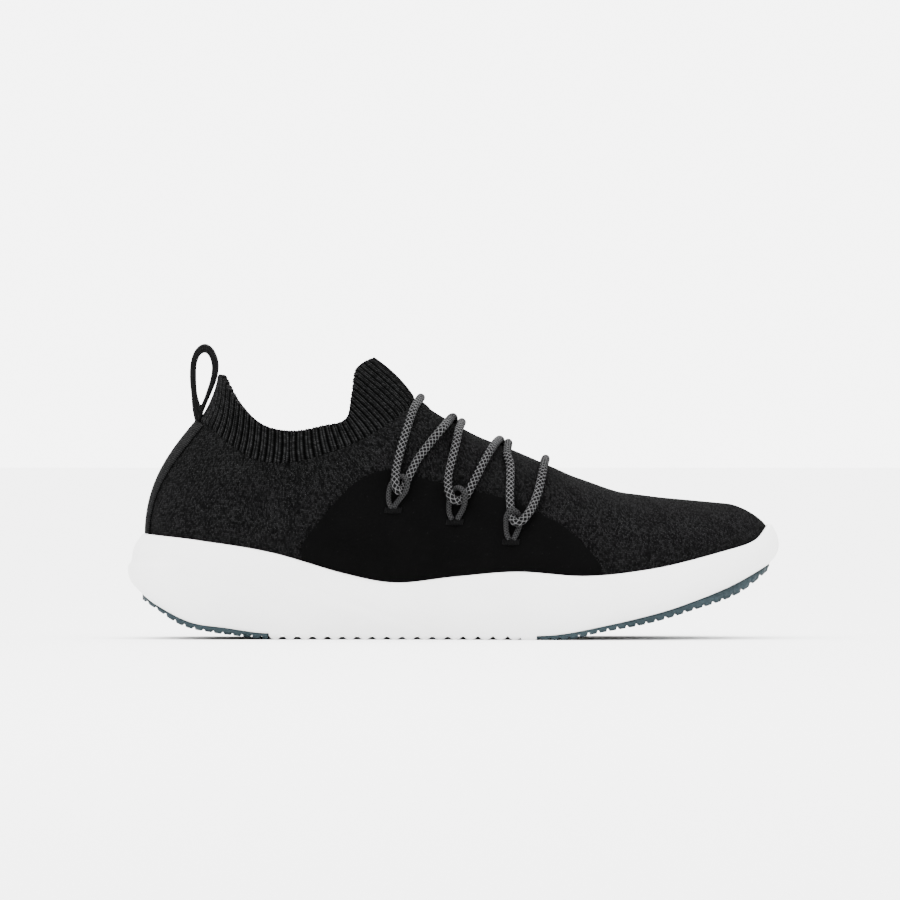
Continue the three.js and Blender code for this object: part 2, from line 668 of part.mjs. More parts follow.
function cordLoopPoints(side, { left, top, right }) {
  const at = (x, z) => above(side, x, z, CORD_HEIGHT);
  const [x, z] = top;
  const shoulder = z - 2.4;
  return [
    at(...left), at((left[0] + x) / 2 - 1, (left[1] + z) / 2), at(x - 1.8, shoulder), at(x, z),
    at(x + 1.8, shoulder), at((right[0] + x) / 2 + 1, (right[1] + z) / 2), at(...right),
  ];
}

function addCordLoops() {
  for (const [word, side] of [['lateral', -1], ['medial', 1]]) {
    CORD_LOOPS.forEach((loop, i) => {
      const curve = new THREE.CatmullRomCurve3(cordLoopPoints(side, loop));
      const geometry = cordGeometry(curve, LOOP_CORD_RADIUS, 6, 14);
      add(`lace_loop_${word}_${i + 1}`, geometry, CORD_GREY, 0.9);
      addTack(`bartack_${word}_${i + 1}`, side, loop.tack);
    });
  }
}

// A short block of stitches that sews a cord loop to the overlay.
function addTack(name, side, [x, z]) {
  const halfLength = 2.8;
  const halfHeight = 0.9;
  const corner = (dx, dz, height) => above(side, x + dx, z + dz, height);
  const column = (dx, height) => [corner(dx, -halfHeight, height), corner(dx, halfHeight, height)];
  const offsets = side < 0 ? [-halfLength, halfLength] : [halfLength, -halfLength];
  const grid = (height) => offsets.map((dx) => column(dx, height));
  add(name, sheetGeometry(grid(ON_OVERLAY + 0.9), grid(ON_OVERLAY), false), CORD_GREY, 0.9);
}

addMidsole();
addOutsoles();
addFootbed();
addKnitBody();
addRibCollar();
addOverlays();
addHeelPieces();
addToePuff();
addPullLoop();
addLace();
addCordLoops();

export default shoe;
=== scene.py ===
"""A knitted slip-on running shoe for the right foot: the fine surfaces over its CAD frame.

Curves are in millimetres as on a 300 mm sole; MM turns them into metres on the frame's sole.
+X points to the toe, +Z up, and -Y to the lateral side, which faces the camera.
"""
import math
import bmesh
import bpy
import numpy as np
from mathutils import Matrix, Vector


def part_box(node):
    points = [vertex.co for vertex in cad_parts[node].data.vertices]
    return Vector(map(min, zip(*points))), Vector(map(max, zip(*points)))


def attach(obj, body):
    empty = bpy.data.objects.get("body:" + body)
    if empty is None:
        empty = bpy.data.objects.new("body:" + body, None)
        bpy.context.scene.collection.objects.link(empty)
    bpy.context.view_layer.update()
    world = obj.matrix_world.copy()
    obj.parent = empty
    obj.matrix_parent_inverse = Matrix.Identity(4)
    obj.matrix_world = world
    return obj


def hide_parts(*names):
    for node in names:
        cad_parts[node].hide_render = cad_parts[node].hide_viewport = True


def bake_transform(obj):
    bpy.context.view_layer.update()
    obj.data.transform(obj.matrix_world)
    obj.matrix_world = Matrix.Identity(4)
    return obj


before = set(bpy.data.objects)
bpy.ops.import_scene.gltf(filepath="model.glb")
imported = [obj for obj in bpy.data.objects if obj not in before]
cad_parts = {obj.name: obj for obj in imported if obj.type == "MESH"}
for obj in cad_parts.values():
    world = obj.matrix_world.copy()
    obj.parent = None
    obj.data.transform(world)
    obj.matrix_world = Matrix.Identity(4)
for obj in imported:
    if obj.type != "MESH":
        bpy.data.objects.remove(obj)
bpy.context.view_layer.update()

# ---- sizes, in millimetres ----
LENGTH = 300.0
HALF = LENGTH / 2
SOLE_LOW, SOLE_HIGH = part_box("midsole")
MM = (SOLE_HIGH[0] - SOLE_LOW[0]) / LENGTH
HEEL_ROUND, TOE_ROUND, ROUND_POWER = 38.0, 56.0, 2.1
GAP, LIP, KNIT, BOARD = 0.3, 2.2, 2.0, 1.5
UNDER_OVERLAY, OVERLAY = 0.2, 1.1
OVERLAY_FACE = UNDER_OVERLAY + OVERLAY
TAPE, TAPE_HALF, UNDER_TAPE = 1.3, 11.0, 0.15
LINING, UNDER_LINING = 0.9, 0.15
COLLAR = 1.9
SEAM_SHARE = 0.5
RIDGE_FRONT = 125.0
HEEL_PAD_END, FORE_PAD_START = -84.5, 37.5
LUG_FRONT = 30.0
LACE_R, CORD_R, THREAD_R = 2.0, 1.25, 0.34
BRAID_CELLS, BRAID_PITCH = 5, 2.3
CORD_CELLS, CORD_PITCH = 4, 1.3
LATERAL, MEDIAL = -1, 1
# A UV map holds one unit for each 100 mm.
UV_PER_MM = 0.01
# The collar is a 2 by 2 rib: each rib is two wales and a gap, and its own UV width is RIB_PITCH.
RIB_COUNT, RIB_PITCH = 78, 3.3
# WALE_REACH sets how far from a wale's middle the collar's colour fades into the painted shade of the gap.
WALES, WALE_REACH, WALE_WIDTH = (0.3, 0.66), 0.3, 0.13


def smooth(points):
    """A smooth function through (x, value) points, flat beyond both ends."""
    xs, ys = np.array(points, float).T
    steps = np.arange(len(xs))
    before, after = np.maximum(steps - 1, 0), np.minimum(steps + 1, len(xs) - 1)
    slope = (ys[after] - ys[before]) / (xs[after] - xs[before])

    def value(x):
        x = np.clip(np.asarray(x, float), xs[0], xs[-1])
        i = np.clip(np.searchsorted(xs, x, side="right") - 1, 0, len(xs) - 2)
        w = xs[i + 1] - xs[i]
        t = (x - xs[i]) / w
        blend = ys[i] + (ys[i + 1] - ys[i]) * t * t * (3 - 2 * t)
        return blend + w * (t * (1 - t) ** 2 * slope[i] - t * t * (1 - t) * slope[i + 1])

    return value


top_line = smooth([(-150, 48), (-116, 44.9), (-83, 39.6), (-50, 30), (-27, 25.8), (0, 28.6), (28, 30.9),
                   (61, 29), (94, 32.7), (128, 40.6), (143, 45.5), (150, 52.5)])
tread_line = smooth([(-150, 18), (-141, 13.5), (-127, 6.5), (-110, 3.2), (-88, 0.5), (-83, 0), (0, 0),
                     (50, 0), (66, 3.2), (89, 7.4), (111, 13.4), (133, 20.7), (150, 32)])
pad_line = smooth([(-150, 20.5), (-142, 16), (-123, 8.2), (-104, 5.4), (-84, 2.9), (37, 1.9), (50, 2.8),
                   (66, 5.8), (86, 10.2), (105, 15.4), (129, 24.1), (150, 34.5)])
floor_line = smooth([(-150, 31), (-110, 28), (-60, 20.5), (-27, 16.5), (28, 15.5), (70, 16.5), (100, 20.5),
                     (130, 31), (150, 42)])
lateral_width = smooth([(-150, 40), (-110, 42.5), (-60, 39), (-10, 40), (40, 51.5), (70, 53), (100, 49.5),
                        (130, 43), (150, 38)])
medial_width = smooth([(-150, 40), (-110, 42.5), (-60, 36.5), (-15, 34), (30, 43), (70, 52.5), (100, 52),
                       (130, 47.5), (150, 42)])
lip_inset = smooth([(-150, 6.6), (-110, 4.6), (-60, 3.2), (60, 3.2), (110, 3.6), (150, 3.4)])
ridge_line = smooth([(-17.5, 109.8), (-11.8, 106.3), (-6.5, 102.9), (0, 99.2), (6.7, 95.4), (14, 91.9),
                     (22, 88.9), (28.8, 86.2), (36.2, 83), (47.2, 78.2), (54.6, 74.9), (62, 72.3),
                     (69.4, 69.6), (76.7, 67.4), (84, 66.4), (95, 65), (110, 63.6), (125, 62.2)])
overlay_top = smooth([(-71.5, 38.4), (-69.5, 43), (-58, 58.2), (-49, 68), (-43, 73), (-33, 77), (-25, 76.2),
                      (-7.5, 71.9), (10, 67.5), (22, 64.6), (31, 61.2), (39, 57.3), (49, 52.4), (56.5, 46.1),
                      (63.4, 38.9), (69, 31.5)])

# Matching points of the collar's seam and its top edge, from the heel's back to the tongue.
SEAM = [(-117.3, 0, 100), (-112.5, 14, 97.5), (-102.3, 24.5, 89.2), (-90, 31, 82), (-74, 34, 81),
        (-57, 33, 85.5), (-43, 28.5, 91), (-31, 21.5, 98), (-22, 12, 105), (-17.5, 0, 109.8)]
EDGE = [(-108.3, 0, 118.5), (-106.8, 9.5, 121.2), (-99, 20, 108.5), (-88, 26.8, 98.5), (-74, 29.5, 95.6),
        (-60, 28.8, 98), (-49.5, 25.3, 101.2), (-46, 20.5, 113), (-43.8, 12, 125), (-36.8, 0, 129.3)]
LAST_RIB = len(SEAM) - 1
foot_angle = smooth([(0, 0), (1, 0.3), (2, 0.62), (3, 0.86), (4, 1.06), (5, 1.22), (6, 1.35), (7, 1.45),
                     (8, 1.52), (9, 1.58)])
seam_slope = smooth([(0, 0.85), (1, 1.0), (2, 1.2), (4, 1.33), (5, 1.2), (6, 0.9), (7, 0.55), (8, 0.22),
                     (9, 0)])


# ---- the sole's outline ----
def vec(x, y, z):
    x, y, z = np.broadcast_arrays(x, y, z)
    return np.stack([x, y, z], -1).astype(float)


def unit(v):
    return v / np.maximum(np.linalg.norm(v, axis=-1, keepdims=True), 1e-9)


def catmull_rom(a, b, c, d, f):
    """The place at share f from b to c on a smooth curve through a, b, c and d."""
    bend = (2 * a - 5 * b + 4 * c - d) * f ** 2 + (3 * b - a - 3 * c + d) * f ** 3
    return 0.5 * (2 * b + (c - a) * f + bend)


def outline_x(angle):
    return -HALF * np.cos(angle)


def end_rounding(distance, round_length):
    u = np.clip(1 - distance / round_length, 0, 1)
    return (1 - u ** ROUND_POWER) ** (1 / ROUND_POWER)


def raw_outline(side, angle):
    x = outline_x(angle)
    width = lateral_width(x) if side < 0 else medial_width(x)
    y = side * width * end_rounding(x + HALF, HEEL_ROUND) * end_rounding(HALF - x, TOE_ROUND)
    return vec(x, y, 0)


def outline(side, angle, inset):
    angle, inset = np.broadcast_arrays(np.asarray(angle, float), np.asarray(inset, float))
    step = 0.01
    ahead = raw_outline(side, np.minimum(angle + step, math.pi))
    behind = raw_outline(side, np.maximum(angle - step, 0))
    along = unit(ahead - behind)
    inward = vec(-along[..., 1], along[..., 0], 0) * -side
    at_end = (angle <= 0) | (angle >= math.pi)
    end_way = np.where(angle <= 0, 1.0, -1.0)
    inward = np.where(at_end[..., None], vec(end_way, 0, 0), inward)
    point = raw_outline(side, angle) + inward * inset[..., None]
    point[..., 1] = np.where(at_end, 0, point[..., 1])
    return point


def wall_inset(angle):
    return lip_inset(outline_x(angle)) + LIP


def tread_inset(angle):
    return 2 + 0.7 * lip_inset(outline_x(angle))


def raised(point, z):
    return vec(point[..., 0], point[..., 1], z)


# ---- the upper as a surface: (side, s from heel to toe, v from the lip to the seam or ridge) ----
def rib_curve(points):
    """A closed curve round the collar through the points and their mirror images."""
    lateral = [(x, -y, z) for x, y, z in points]
    medial = [(x, y, z) for x, y, z in points[-2:0:-1]]
    knots = np.array(lateral + medial, float)
    count = len(knots)

    def point(side, s):
        t = np.asarray(s, float) / SEAM_SHARE * LAST_RIB
        t = np.where(side < 0, t, count - t) % count
        i = np.floor(t).astype(int)
        f = (t - i)[..., None]
        a, b, c, d = (knots[(i + k) % count] for k in (-1, 0, 1, 2))
        return catmull_rom(a, b, c, d, f)

    return point


seam_point, edge_point = rib_curve(SEAM), rib_curve(EDGE)


def column_angle(s):
    start = foot_angle(LAST_RIB)
    front = start + (math.pi - start) * (s - SEAM_SHARE) / (1 - SEAM_SHARE)
    return np.where(s <= SEAM_SHARE, foot_angle(LAST_RIB * s / SEAM_SHARE), front)


def ridge_point(s):
    start = outline_x(foot_angle(LAST_RIB))
    share = (outline_x(column_angle(s)) - start) / (HALF - start)
    x = SEAM[-1][0] + (RIDGE_FRONT - SEAM[-1][0]) * share
    return vec(x, 0, ridge_line(x))


def ridge_fall(x):
    return (ridge_line(x + 1) - ridge_line(x - 1)) / 2


def upper(side, s, v):
    """The outer face of the upper: a cubic from the foot by the sole's lip to the seam or ridge."""
    s, v = np.broadcast_arrays(np.asarray(s, float), np.asarray(v, float))
    angle = column_angle(s)
    foot = raised(outline(side, angle, wall_inset(angle) + GAP), top_line(outline_x(angle)) - 1)
    on_seam = (s <= SEAM_SHARE)[..., None]
    seam, ridge = seam_point(side, np.minimum(s, SEAM_SHARE)), ridge_point(np.maximum(s, SEAM_SHARE))
    top = np.where(on_seam, seam, ridge)
    slope = np.where(s <= SEAM_SHARE, seam_slope(LAST_RIB * s / SEAM_SHARE), 0)
    out = (foot - top) * (1, 1, 0)
    toe_share = (np.maximum(s - SEAM_SHARE, 0) / (1 - SEAM_SHARE)) ** 6
    reach = (0.62 - 0.2 * toe_share) * np.linalg.norm(out, axis=-1) * np.cos(slope)
    reach = reach + 0.36 * (top - foot)[..., 2] * np.sin(slope)
    high = top + unit(out) * (reach * np.cos(slope))[..., None]
    fall = np.where(s > SEAM_SHARE, ridge_fall(top[..., 0]) * (high - top)[..., 0], 0)
    high[..., 2] += fall - reach * np.sin(slope)
    stand = np.where(s <= SEAM_SHARE, 0.4 + 0.2 * (s / SEAM_SHARE) ** 4, 0.6 - 0.45 * toe_share)
    low = foot + vec(0, 0, stand * (top - foot)[..., 2])
    t = np.maximum(v, 0)[..., None]
    curve = foot * (1 - t) ** 3 + 3 * low * t * (1 - t) ** 2 + 3 * high * t * t * (1 - t) + top * t ** 3
    floor = floor_line(outline_x(angle)) + GAP + BOARD + GAP
    curve[..., 2] += np.minimum(v, 0) * (foot[..., 2] - floor)
    return curve


def upper_normal(side, s, v):
    s, v = np.broadcast_arrays(np.asarray(s, float), np.asarray(v, float))
    step = 0.004
    a, b = np.clip(s, 2 * step, 1 - 2 * step), np.minimum(v, 1 - 2 * step)
    along = upper(side, a + step, b) - upper(side, a - step, b)
    up = upper(side, a, b + step) - upper(side, a, b - step)
    normal = np.cross(along, up) * -side
    middle = (s <= 0) | (s >= 1)
    normal[..., 1] = np.where(middle, 0, normal[..., 1])
    fall = ridge_fall(ridge_point(np.maximum(s, SEAM_SHARE))[..., 0])
    crest = ((v >= 1) & (s >= SEAM_SHARE))[..., None]
    return unit(np.where(crest, vec(-fall, 0, 1), normal))


def off_upper(side, s, v, height):
    height = np.asarray(height, float)
    return upper(side, s, v) + upper_normal(side, s, v) * height[..., None]


def solve(f, value, low, high, rounds=26):
    """Where an increasing function reaches a value, for arrays."""
    low, high = np.broadcast_arrays(low + value * 0.0, high + value * 0.0)
    for _ in range(rounds):
        middle = (low + high) / 2
        under = f(middle) < value
        low, high = np.where(under, middle, low), np.where(under, high, middle)
    return (low + high) / 2


def place_at(side, x, z):
    """The column and height of the upper that a side view shows at x, z."""
    x, z = np.asarray(x, float), np.asarray(z, float)

    def column(v):
        return solve(lambda s: upper(side, s, v)[..., 0], x, 0.02, 0.98)

    v = solve(lambda v: upper(side, column(v), v)[..., 2], z, 0.0, 0.999)
    return column(v), v


def above(side, points, rounds=4, pull=0.8):
    """Points that a side view shows at x, z, at a height over the upper, from (x, z, height) rows."""
    x, z, height = np.array(points, float).T
    at_x, at_z = x, z
    for _ in range(rounds):
        point = off_upper(side, *place_at(side, at_x, at_z), height)
        at_x, at_z = at_x + (x - point[..., 0]) * pull, at_z + (z - point[..., 2]) * pull
    return point


# ---- meshes ----
def build(name, points, faces, uvs, material):
    """A mesh object from millimetre points; uvs hold one (u, v) in millimetres for each point."""
    mesh = bpy.data.meshes.new(name)
    mesh.from_pydata((np.asarray(points) * MM).tolist(), [], faces)
    obj = bpy.data.objects.new(name, mesh)
    bpy.context.scene.collection.objects.link(obj)
    if uvs is not None:
        layer = mesh.uv_layers.new(name="UVMap")
        index = np.empty(len(mesh.loops), int)
        mesh.loops.foreach_get("vertex_index", index)
        flat = (np.asarray(uvs, float) * UV_PER_MM)[index]
        layer.data.foreach_set("uv", flat.ravel())
    mesh.polygons.foreach_set("use_smooth", [True] * len(mesh.polygons))
    mesh.materials.append(material)
    clean = bmesh.new()
    clean.from_mesh(mesh)
    bmesh.ops.remove_doubles(clean, verts=clean.verts, dist=2e-6)
    bmesh.ops.recalc_face_normals(clean, faces=clean.faces)
    clean.to_mesh(mesh)
    clean.free()
    mesh.update()
    return obj


def grid_faces(rows, columns, start=0, wrap_rows=False, wrap_columns=False):
    faces = []
    for i in range(rows if wrap_rows else rows - 1):
        k = (i + 1) % rows
        for j in range(columns if wrap_columns else columns - 1):
            m = (j + 1) % columns
            faces.append((start + i * columns + j, start + k * columns + j,
                          start + k * columns + m, start + i * columns + m))
    return faces


def grid_uv(grid):
    """Lengths in millimetres along both ways of a grid of points."""
    along = np.linalg.norm(np.diff(grid, axis=0), axis=-1)
    up = np.linalg.norm(np.diff(grid, axis=1), axis=-1)
    middle = grid.shape[1] // 3
    u = np.concatenate([[0], np.cumsum(along[:, middle])])
    u = np.repeat(u[:, None], grid.shape[1], 1)
    v = np.concatenate([np.zeros((grid.shape[0], 1)), np.cumsum(up, axis=1)], axis=1)
    return np.stack([u, v], -1)


def sheet(name, outer, inner, material, wraps=False, zipped=None, uv=None):
    """A thick sheet between two grids; zipped marks columns whose tops already meet their twins."""
    n, m = outer.shape[:2]
    uv = grid_uv(outer) if uv is None else uv
    points = np.concatenate([outer.reshape(-1, 3), inner.reshape(-1, 3)])
    uvs = np.concatenate([uv.reshape(-1, 2)] * 2)
    back = n * m
    faces = grid_faces(n, m, wrap_rows=wraps)
    faces += [tuple(reversed(f)) for f in grid_faces(n, m, back, wrap_rows=wraps)]
    for i in range(n if wraps else n - 1):
        k = (i + 1) % n
        faces.append((i * m, back + i * m, back + k * m, k * m))
        if zipped is None or not zipped[i]:
            faces.append((i * m + m - 1, k * m + m - 1, back + k * m + m - 1, back + i * m + m - 1))
    if not wraps:
        for j in range(m - 1):
            faces.append((j, j + 1, back + j + 1, back + j))
            z = (n - 1) * m
            faces.append((z + j, back + z + j, back + z + j + 1, z + j + 1))
    return build(name, points, faces, uvs, material)


def soften(obj, width, segments=3, angle=50):
    """Rounds the sharp edges of a sheet."""
    bevel = obj.modifiers.new("round_edges", "BEVEL")
    bevel.width = width * MM
    bevel.segments = segments
    bevel.limit_method = "ANGLE"
    bevel.angle_limit = math.radians(angle)
    return obj


def loops_body(name, loops, material, uvs, ring=False):
    """A body through closed loops of points; each loop ends on the point that it starts with."""
    n, m = loops.shape[:2]
    faces = grid_faces(n, m, wrap_rows=ring)
    if not ring:
        faces.append(tuple(range(m)))
        faces.append(tuple(reversed(range((n - 1) * m, n * m))))
    return build(name, loops.reshape(-1, 3), faces, uvs, material)


def spline(points, closed, spacing):
    """Points at an even spacing along a smooth curve through the given ones."""
    knots = np.asarray(points, float)
    n = len(knots)
    if closed:
        spans = [[knots[(i + k) % n] for k in (-1, 0, 1, 2)] for i in range(n)]
    else:
        ends = [2 * knots[0] - knots[1], *knots, 2 * knots[-1] - knots[-2]]
        spans = [ends[i:i + 4] for i in range(n - 1)]
    dense = []
    for a, b, c, d in spans:
        ta, tb, tc = (max(np.linalg.norm(q - p), 1e-6) ** 0.5 for p, q in ((a, b), (b, c), (c, d)))
        m1 = (c - b) + tb * ((b - a) / ta - (c - a) / (ta + tb))
        m2 = (c - b) + tb * ((d - c) / tc - (d - b) / (tb + tc))
        f = np.linspace(0, 1, 40, endpoint=False)[:, None]
        h00, h10 = 2 * f ** 3 - 3 * f ** 2 + 1, f ** 3 - 2 * f ** 2 + f
        h01, h11 = -2 * f ** 3 + 3 * f ** 2, f ** 3 - f ** 2
        dense.append(h00 * b + h10 * m1 + h01 * c + h11 * m2)
    dense = np.concatenate(dense + [spans[-1][2][None]])
    lengths = np.concatenate([[0], np.cumsum(np.linalg.norm(np.diff(dense, axis=0), axis=1))])
    count = max(8, int(lengths[-1] / spacing))
    at = np.linspace(0, lengths[-1], count + 1)
    if closed:
        at = at[:-1]
    return np.stack([np.interp(at, lengths, dense[:, k]) for k in range(3)], -1), lengths[-1]


def cord(name, points, radius, sides, spacing, material, closed=False, relief=None):
    """A round cord; relief(along, around) raises its surface in millimetres."""
    path, length = spline(points, closed, spacing)
    if closed:
        tangent = unit(np.roll(path, -1, 0) - np.roll(path, 1, 0))
    else:
        tangent = unit(np.gradient(path, axis=0))
    normal = np.zeros_like(path)
    normal[0] = unit(np.cross(tangent[0], (0.31, 0.2, 0.93)))
    for i in range(1, len(path)):
        turned = normal[i - 1] - tangent[i] * np.dot(normal[i - 1], tangent[i])
        normal[i] = unit(turned)
    if closed:
        side = np.cross(tangent[0], normal[0])
        first = normal[-1] - tangent[0] * np.dot(normal[-1], tangent[0])
        twist = math.atan2(np.dot(first, side), np.dot(first, normal[0]))
        turn = -twist * np.arange(len(path)) / len(path)
        other = np.cross(tangent, normal)
        normal = normal * np.cos(turn)[:, None] + other * np.sin(turn)[:, None]
    other = np.cross(tangent, normal)
    around = 2 * math.pi * np.arange(sides + 1) / sides
    along = length * np.arange(len(path)) / (len(path) if closed else len(path) - 1)
    r = np.full((len(path), sides + 1), radius)
    if relief is not None:
        r = r + relief(along[:, None], around[None, :])
    if not closed:
        cap = np.clip(np.minimum(along, along[::-1]) / (0.6 * radius), 0.0, 1.0)
        r = r * (0.35 + 0.65 * np.sqrt(1 - (1 - cap) ** 2))[:, None]
    loops = (path[:, None] + r[..., None] * (normal[:, None] * np.cos(around)[None, :, None]
                                             + other[:, None] * np.sin(around)[None, :, None]))
    uv = np.stack(np.broadcast_arrays(around[None, :] * radius, along[:, None]), -1)
    return loops_body(name, loops, material, uv.reshape(-1, 2), ring=closed), length


# ---- materials ----
class Nodes:
    """Short calls for building one node material."""

    def __init__(self, name, color, roughness, specular=0.5):
        self.material = bpy.data.materials.new(name)
        self.material.use_nodes = True
        self.tree = self.material.node_tree
        self.shader = self.tree.nodes["Principled BSDF"]
        self.shader.inputs["Base Color"].default_value = (*color, 1)
        self.shader.inputs["Roughness"].default_value = roughness
        self.shader.inputs["Specular IOR Level"].default_value = specular

    def add(self, kind, **values):
        node = self.tree.nodes.new("ShaderNode" + kind)
        for key, value in values.items():
            setattr(node, key, value)
        return node

    def put(self, socket, value):
        if hasattr(value, "is_output"):
            self.tree.links.new(value, socket)
        else:
            socket.default_value = value

    def math(self, operation, a, b=0.0):
        node = self.add("Math", operation=operation)
        for socket, value in zip(node.inputs, (a, b)):
            self.put(socket, value)
        return node.outputs[0]

    def uv(self, u_scale=1.0, v_scale=1.0):
        """The UV map in millimetres, as separate scaled u and v."""
        node = self.add("UVMap", uv_map="UVMap")
        split = self.add("SeparateXYZ")
        self.put(split.inputs[0], node.outputs[0])
        return (self.math("MULTIPLY", split.outputs[0], u_scale / UV_PER_MM),
                self.math("MULTIPLY", split.outputs[1], v_scale / UV_PER_MM))

    def join(self, x, y, z):
        node = self.add("CombineXYZ")
        for socket, value in zip(node.inputs, (x, y, z)):
            self.put(socket, value)
        return node.outputs[0]

    def noise(self, scale, detail):
        node = self.add("TexNoise")
        self.put(node.inputs["Vector"], self.add("TexCoord").outputs["Object"])
        node.inputs["Scale"].default_value = scale
        node.inputs["Detail"].default_value = detail
        node.inputs["Roughness"].default_value = 0.55
        return node.outputs[0]

    def cell(self, x, y, seed=0.0):
        """A random value for each unit square of x, y."""
        node = self.add("TexWhiteNoise", noise_dimensions="3D")
        where = self.join(self.math("FLOOR", x), self.math("FLOOR", y), seed)
        self.put(node.inputs["Vector"], where)
        return node.outputs[0]

    def ramp(self, value, stops):
        node = self.add("ValToRGB")
        ramp = node.color_ramp
        while len(ramp.elements) < len(stops):
            ramp.elements.new(0.5)
        for element, (place, color) in zip(ramp.elements, stops):
            element.position = place
            element.color = (*color, 1)
        self.put(node.inputs[0], value)
        return node.outputs[0]

    def color(self, value):
        self.put(self.shader.inputs["Base Color"], value)

    def roughness(self, value):
        self.put(self.shader.inputs["Roughness"], value)

    def bump(self, height, depth_mm, strength):
        node = self.add("Bump")
        node.inputs["Strength"].default_value = strength
        node.inputs["Distance"].default_value = depth_mm * 0.001
        self.put(node.inputs["Height"], height)
        self.put(self.shader.inputs["Normal"], node.outputs[0])


CLOTH_GLOSS = 0.012


def grey(value):
    return (value, value, value * 1.02)


def knit_stitches(n, width, height, slant):
    """The height, 0 to 1, of V-shaped knit stitches, and a random value for each stitch."""
    u, v = n.uv(1 / width, 1 / height)
    across = n.math("ABSOLUTE", n.math("SUBTRACT", n.math("FRACT", u), 0.5))
    climbed = n.math("ADD", v, n.math("MULTIPLY", across, slant))
    course = n.math("FRACT", climbed)
    thread = n.math("SINE", n.math("MULTIPLY", course, math.pi))
    wale = n.math("SINE", n.math("MULTIPLY", across, 2 * math.pi))
    stitch = n.math("MULTIPLY", n.math("POWER", thread, 0.6), n.math("POWER", wale, 0.5))
    half = n.math("MULTIPLY", u, 2.0)
    return stitch, n.cell(half, climbed)


def knit_material():
    """Heather yarn: each stitch has its own tone, spotted with lighter and darker fibres, and is painted
    darker in the gaps between stitches as painted shade.
    """
    middle, width, height, slant = 0.0034, 1.3, 0.9, 1.1
    n = Nodes("heather_knit", grey(middle), 0.92, specular=CLOTH_GLOSS)
    stitch, chance = knit_stitches(n, width, height, slant)
    fine, cloud = n.noise(1700.0, 3.0), n.noise(90.0, 2.0)
    mixed = n.math("ADD", n.math("MULTIPLY", chance, 0.45), n.math("MULTIPLY", fine, 0.4))
    mixed = n.math("ADD", mixed, n.math("MULTIPLY", cloud, 0.15))
    # Painted shade: the tone is scaled down where the stitch height is low, in the gaps between stitches.
    tone = n.math("MULTIPLY", mixed, n.math("ADD", n.math("MULTIPLY", stitch, 0.5), 0.6))
    n.color(n.ramp(tone, [(0.12, grey(middle * 0.12)), (0.38, grey(middle * 0.7)),
                          (0.56, grey(middle * 1.7)), (0.85, grey(middle * 4.2))]))
    n.bump(stitch, 0.35, 0.9)
    return n.material


def rib_material():
    """The gaps between the wales and the dips between courses are painted darker as painted shade, and each
    stitch has its own random tone; u is RIB_PITCH for each rib.
    """
    n = Nodes("rib_knit", grey(0.003), 0.92, specular=CLOTH_GLOSS)
    u, v = n.uv()
    phase = n.math("FRACT", n.math("MULTIPLY", u, 1 / RIB_PITCH))
    aside = [n.math("ABSOLUTE", n.math("SUBTRACT", phase, middle)) for middle in WALES]
    # Painted shade: the colour falls to near black in the gaps between the wales, away from each wale's
    # middle.
    wale = n.math("SUBTRACT", 1.0, n.math("MULTIPLY", n.math("MINIMUM", *aside), 1 / WALE_REACH))
    wale = n.math("MAXIMUM", wale, 0.0)
    climbed = n.math("ADD", n.math("MULTIPLY", v, 1 / 0.9), n.math("MULTIPLY", phase, 1.6))
    thread = n.math("SINE", n.math("MULTIPLY", n.math("FRACT", climbed), math.pi))
    chance = n.cell(n.math("MULTIPLY", u, 2 / RIB_PITCH), climbed, 3.0)
    # The course crests add painted shade in the dips between courses; the random cell gives each stitch its
    # own tone.
    twist = n.math("ADD", n.math("MULTIPLY", thread, 0.35), n.math("MULTIPLY", chance, 0.45))
    tone = n.math("MULTIPLY", wale, n.math("ADD", twist, 0.3))
    n.color(n.ramp(tone, [(0.15, grey(0.0004)), (0.5, grey(0.0042)), (1.0, grey(0.017))]))
    n.bump(thread, 0.25, 0.8)
    return n.material


def overlay_material():
    n = Nodes("overlay_suede", grey(0.0009), 0.8, specular=CLOTH_GLOSS)
    fibre = n.noise(2600.0, 4.0)
    cloud = n.noise(60.0, 3.0)
    tone = n.math("ADD", n.math("MULTIPLY", fibre, 0.6), n.math("MULTIPLY", cloud, 0.4))
    n.color(n.ramp(tone, [(0.25, grey(0.0004)), (0.75, grey(0.0016))]))
    n.roughness(n.math("ADD", n.math("MULTIPLY", cloud, 0.2), 0.66))
    n.bump(fibre, 0.08, 0.7)
    return n.material


def webbing_material():
    tone_low, tone_high = 0.0055, 0.016
    n = Nodes("grey_webbing", grey(tone_low), 0.85, specular=CLOTH_GLOSS)
    u, v = n.uv(1 / 0.9, 1 / 0.95)
    zigzag = n.math("ABSOLUTE", n.math("SUBTRACT", n.math("FRACT", n.math("MULTIPLY", u, 0.5)), 0.5))
    pick = n.math("FRACT", n.math("ADD", v, n.math("MULTIPLY", zigzag, 0.8)))
    thread = n.math("SINE", n.math("MULTIPLY", pick, math.pi))
    warp = n.math("SINE", n.math("MULTIPLY", n.math("FRACT", u), math.pi))
    weave = n.math("MULTIPLY", n.math("POWER", thread, 0.5), n.math("POWER", warp, 0.4))
    # Painted shade: the colour darkens where the weave is low, in the dips between threads; the random cell
    # gives each crossing its own tone.
    tone = n.math("MULTIPLY", weave, n.math("ADD", n.math("MULTIPLY", n.cell(u, v), 0.4), 0.6))
    n.color(n.ramp(tone, [(0.05, grey(tone_low * 0.3)), (0.5, grey(tone_low)), (1.0, grey(tone_high))]))
    n.bump(weave, 0.25, 0.9)
    return n.material


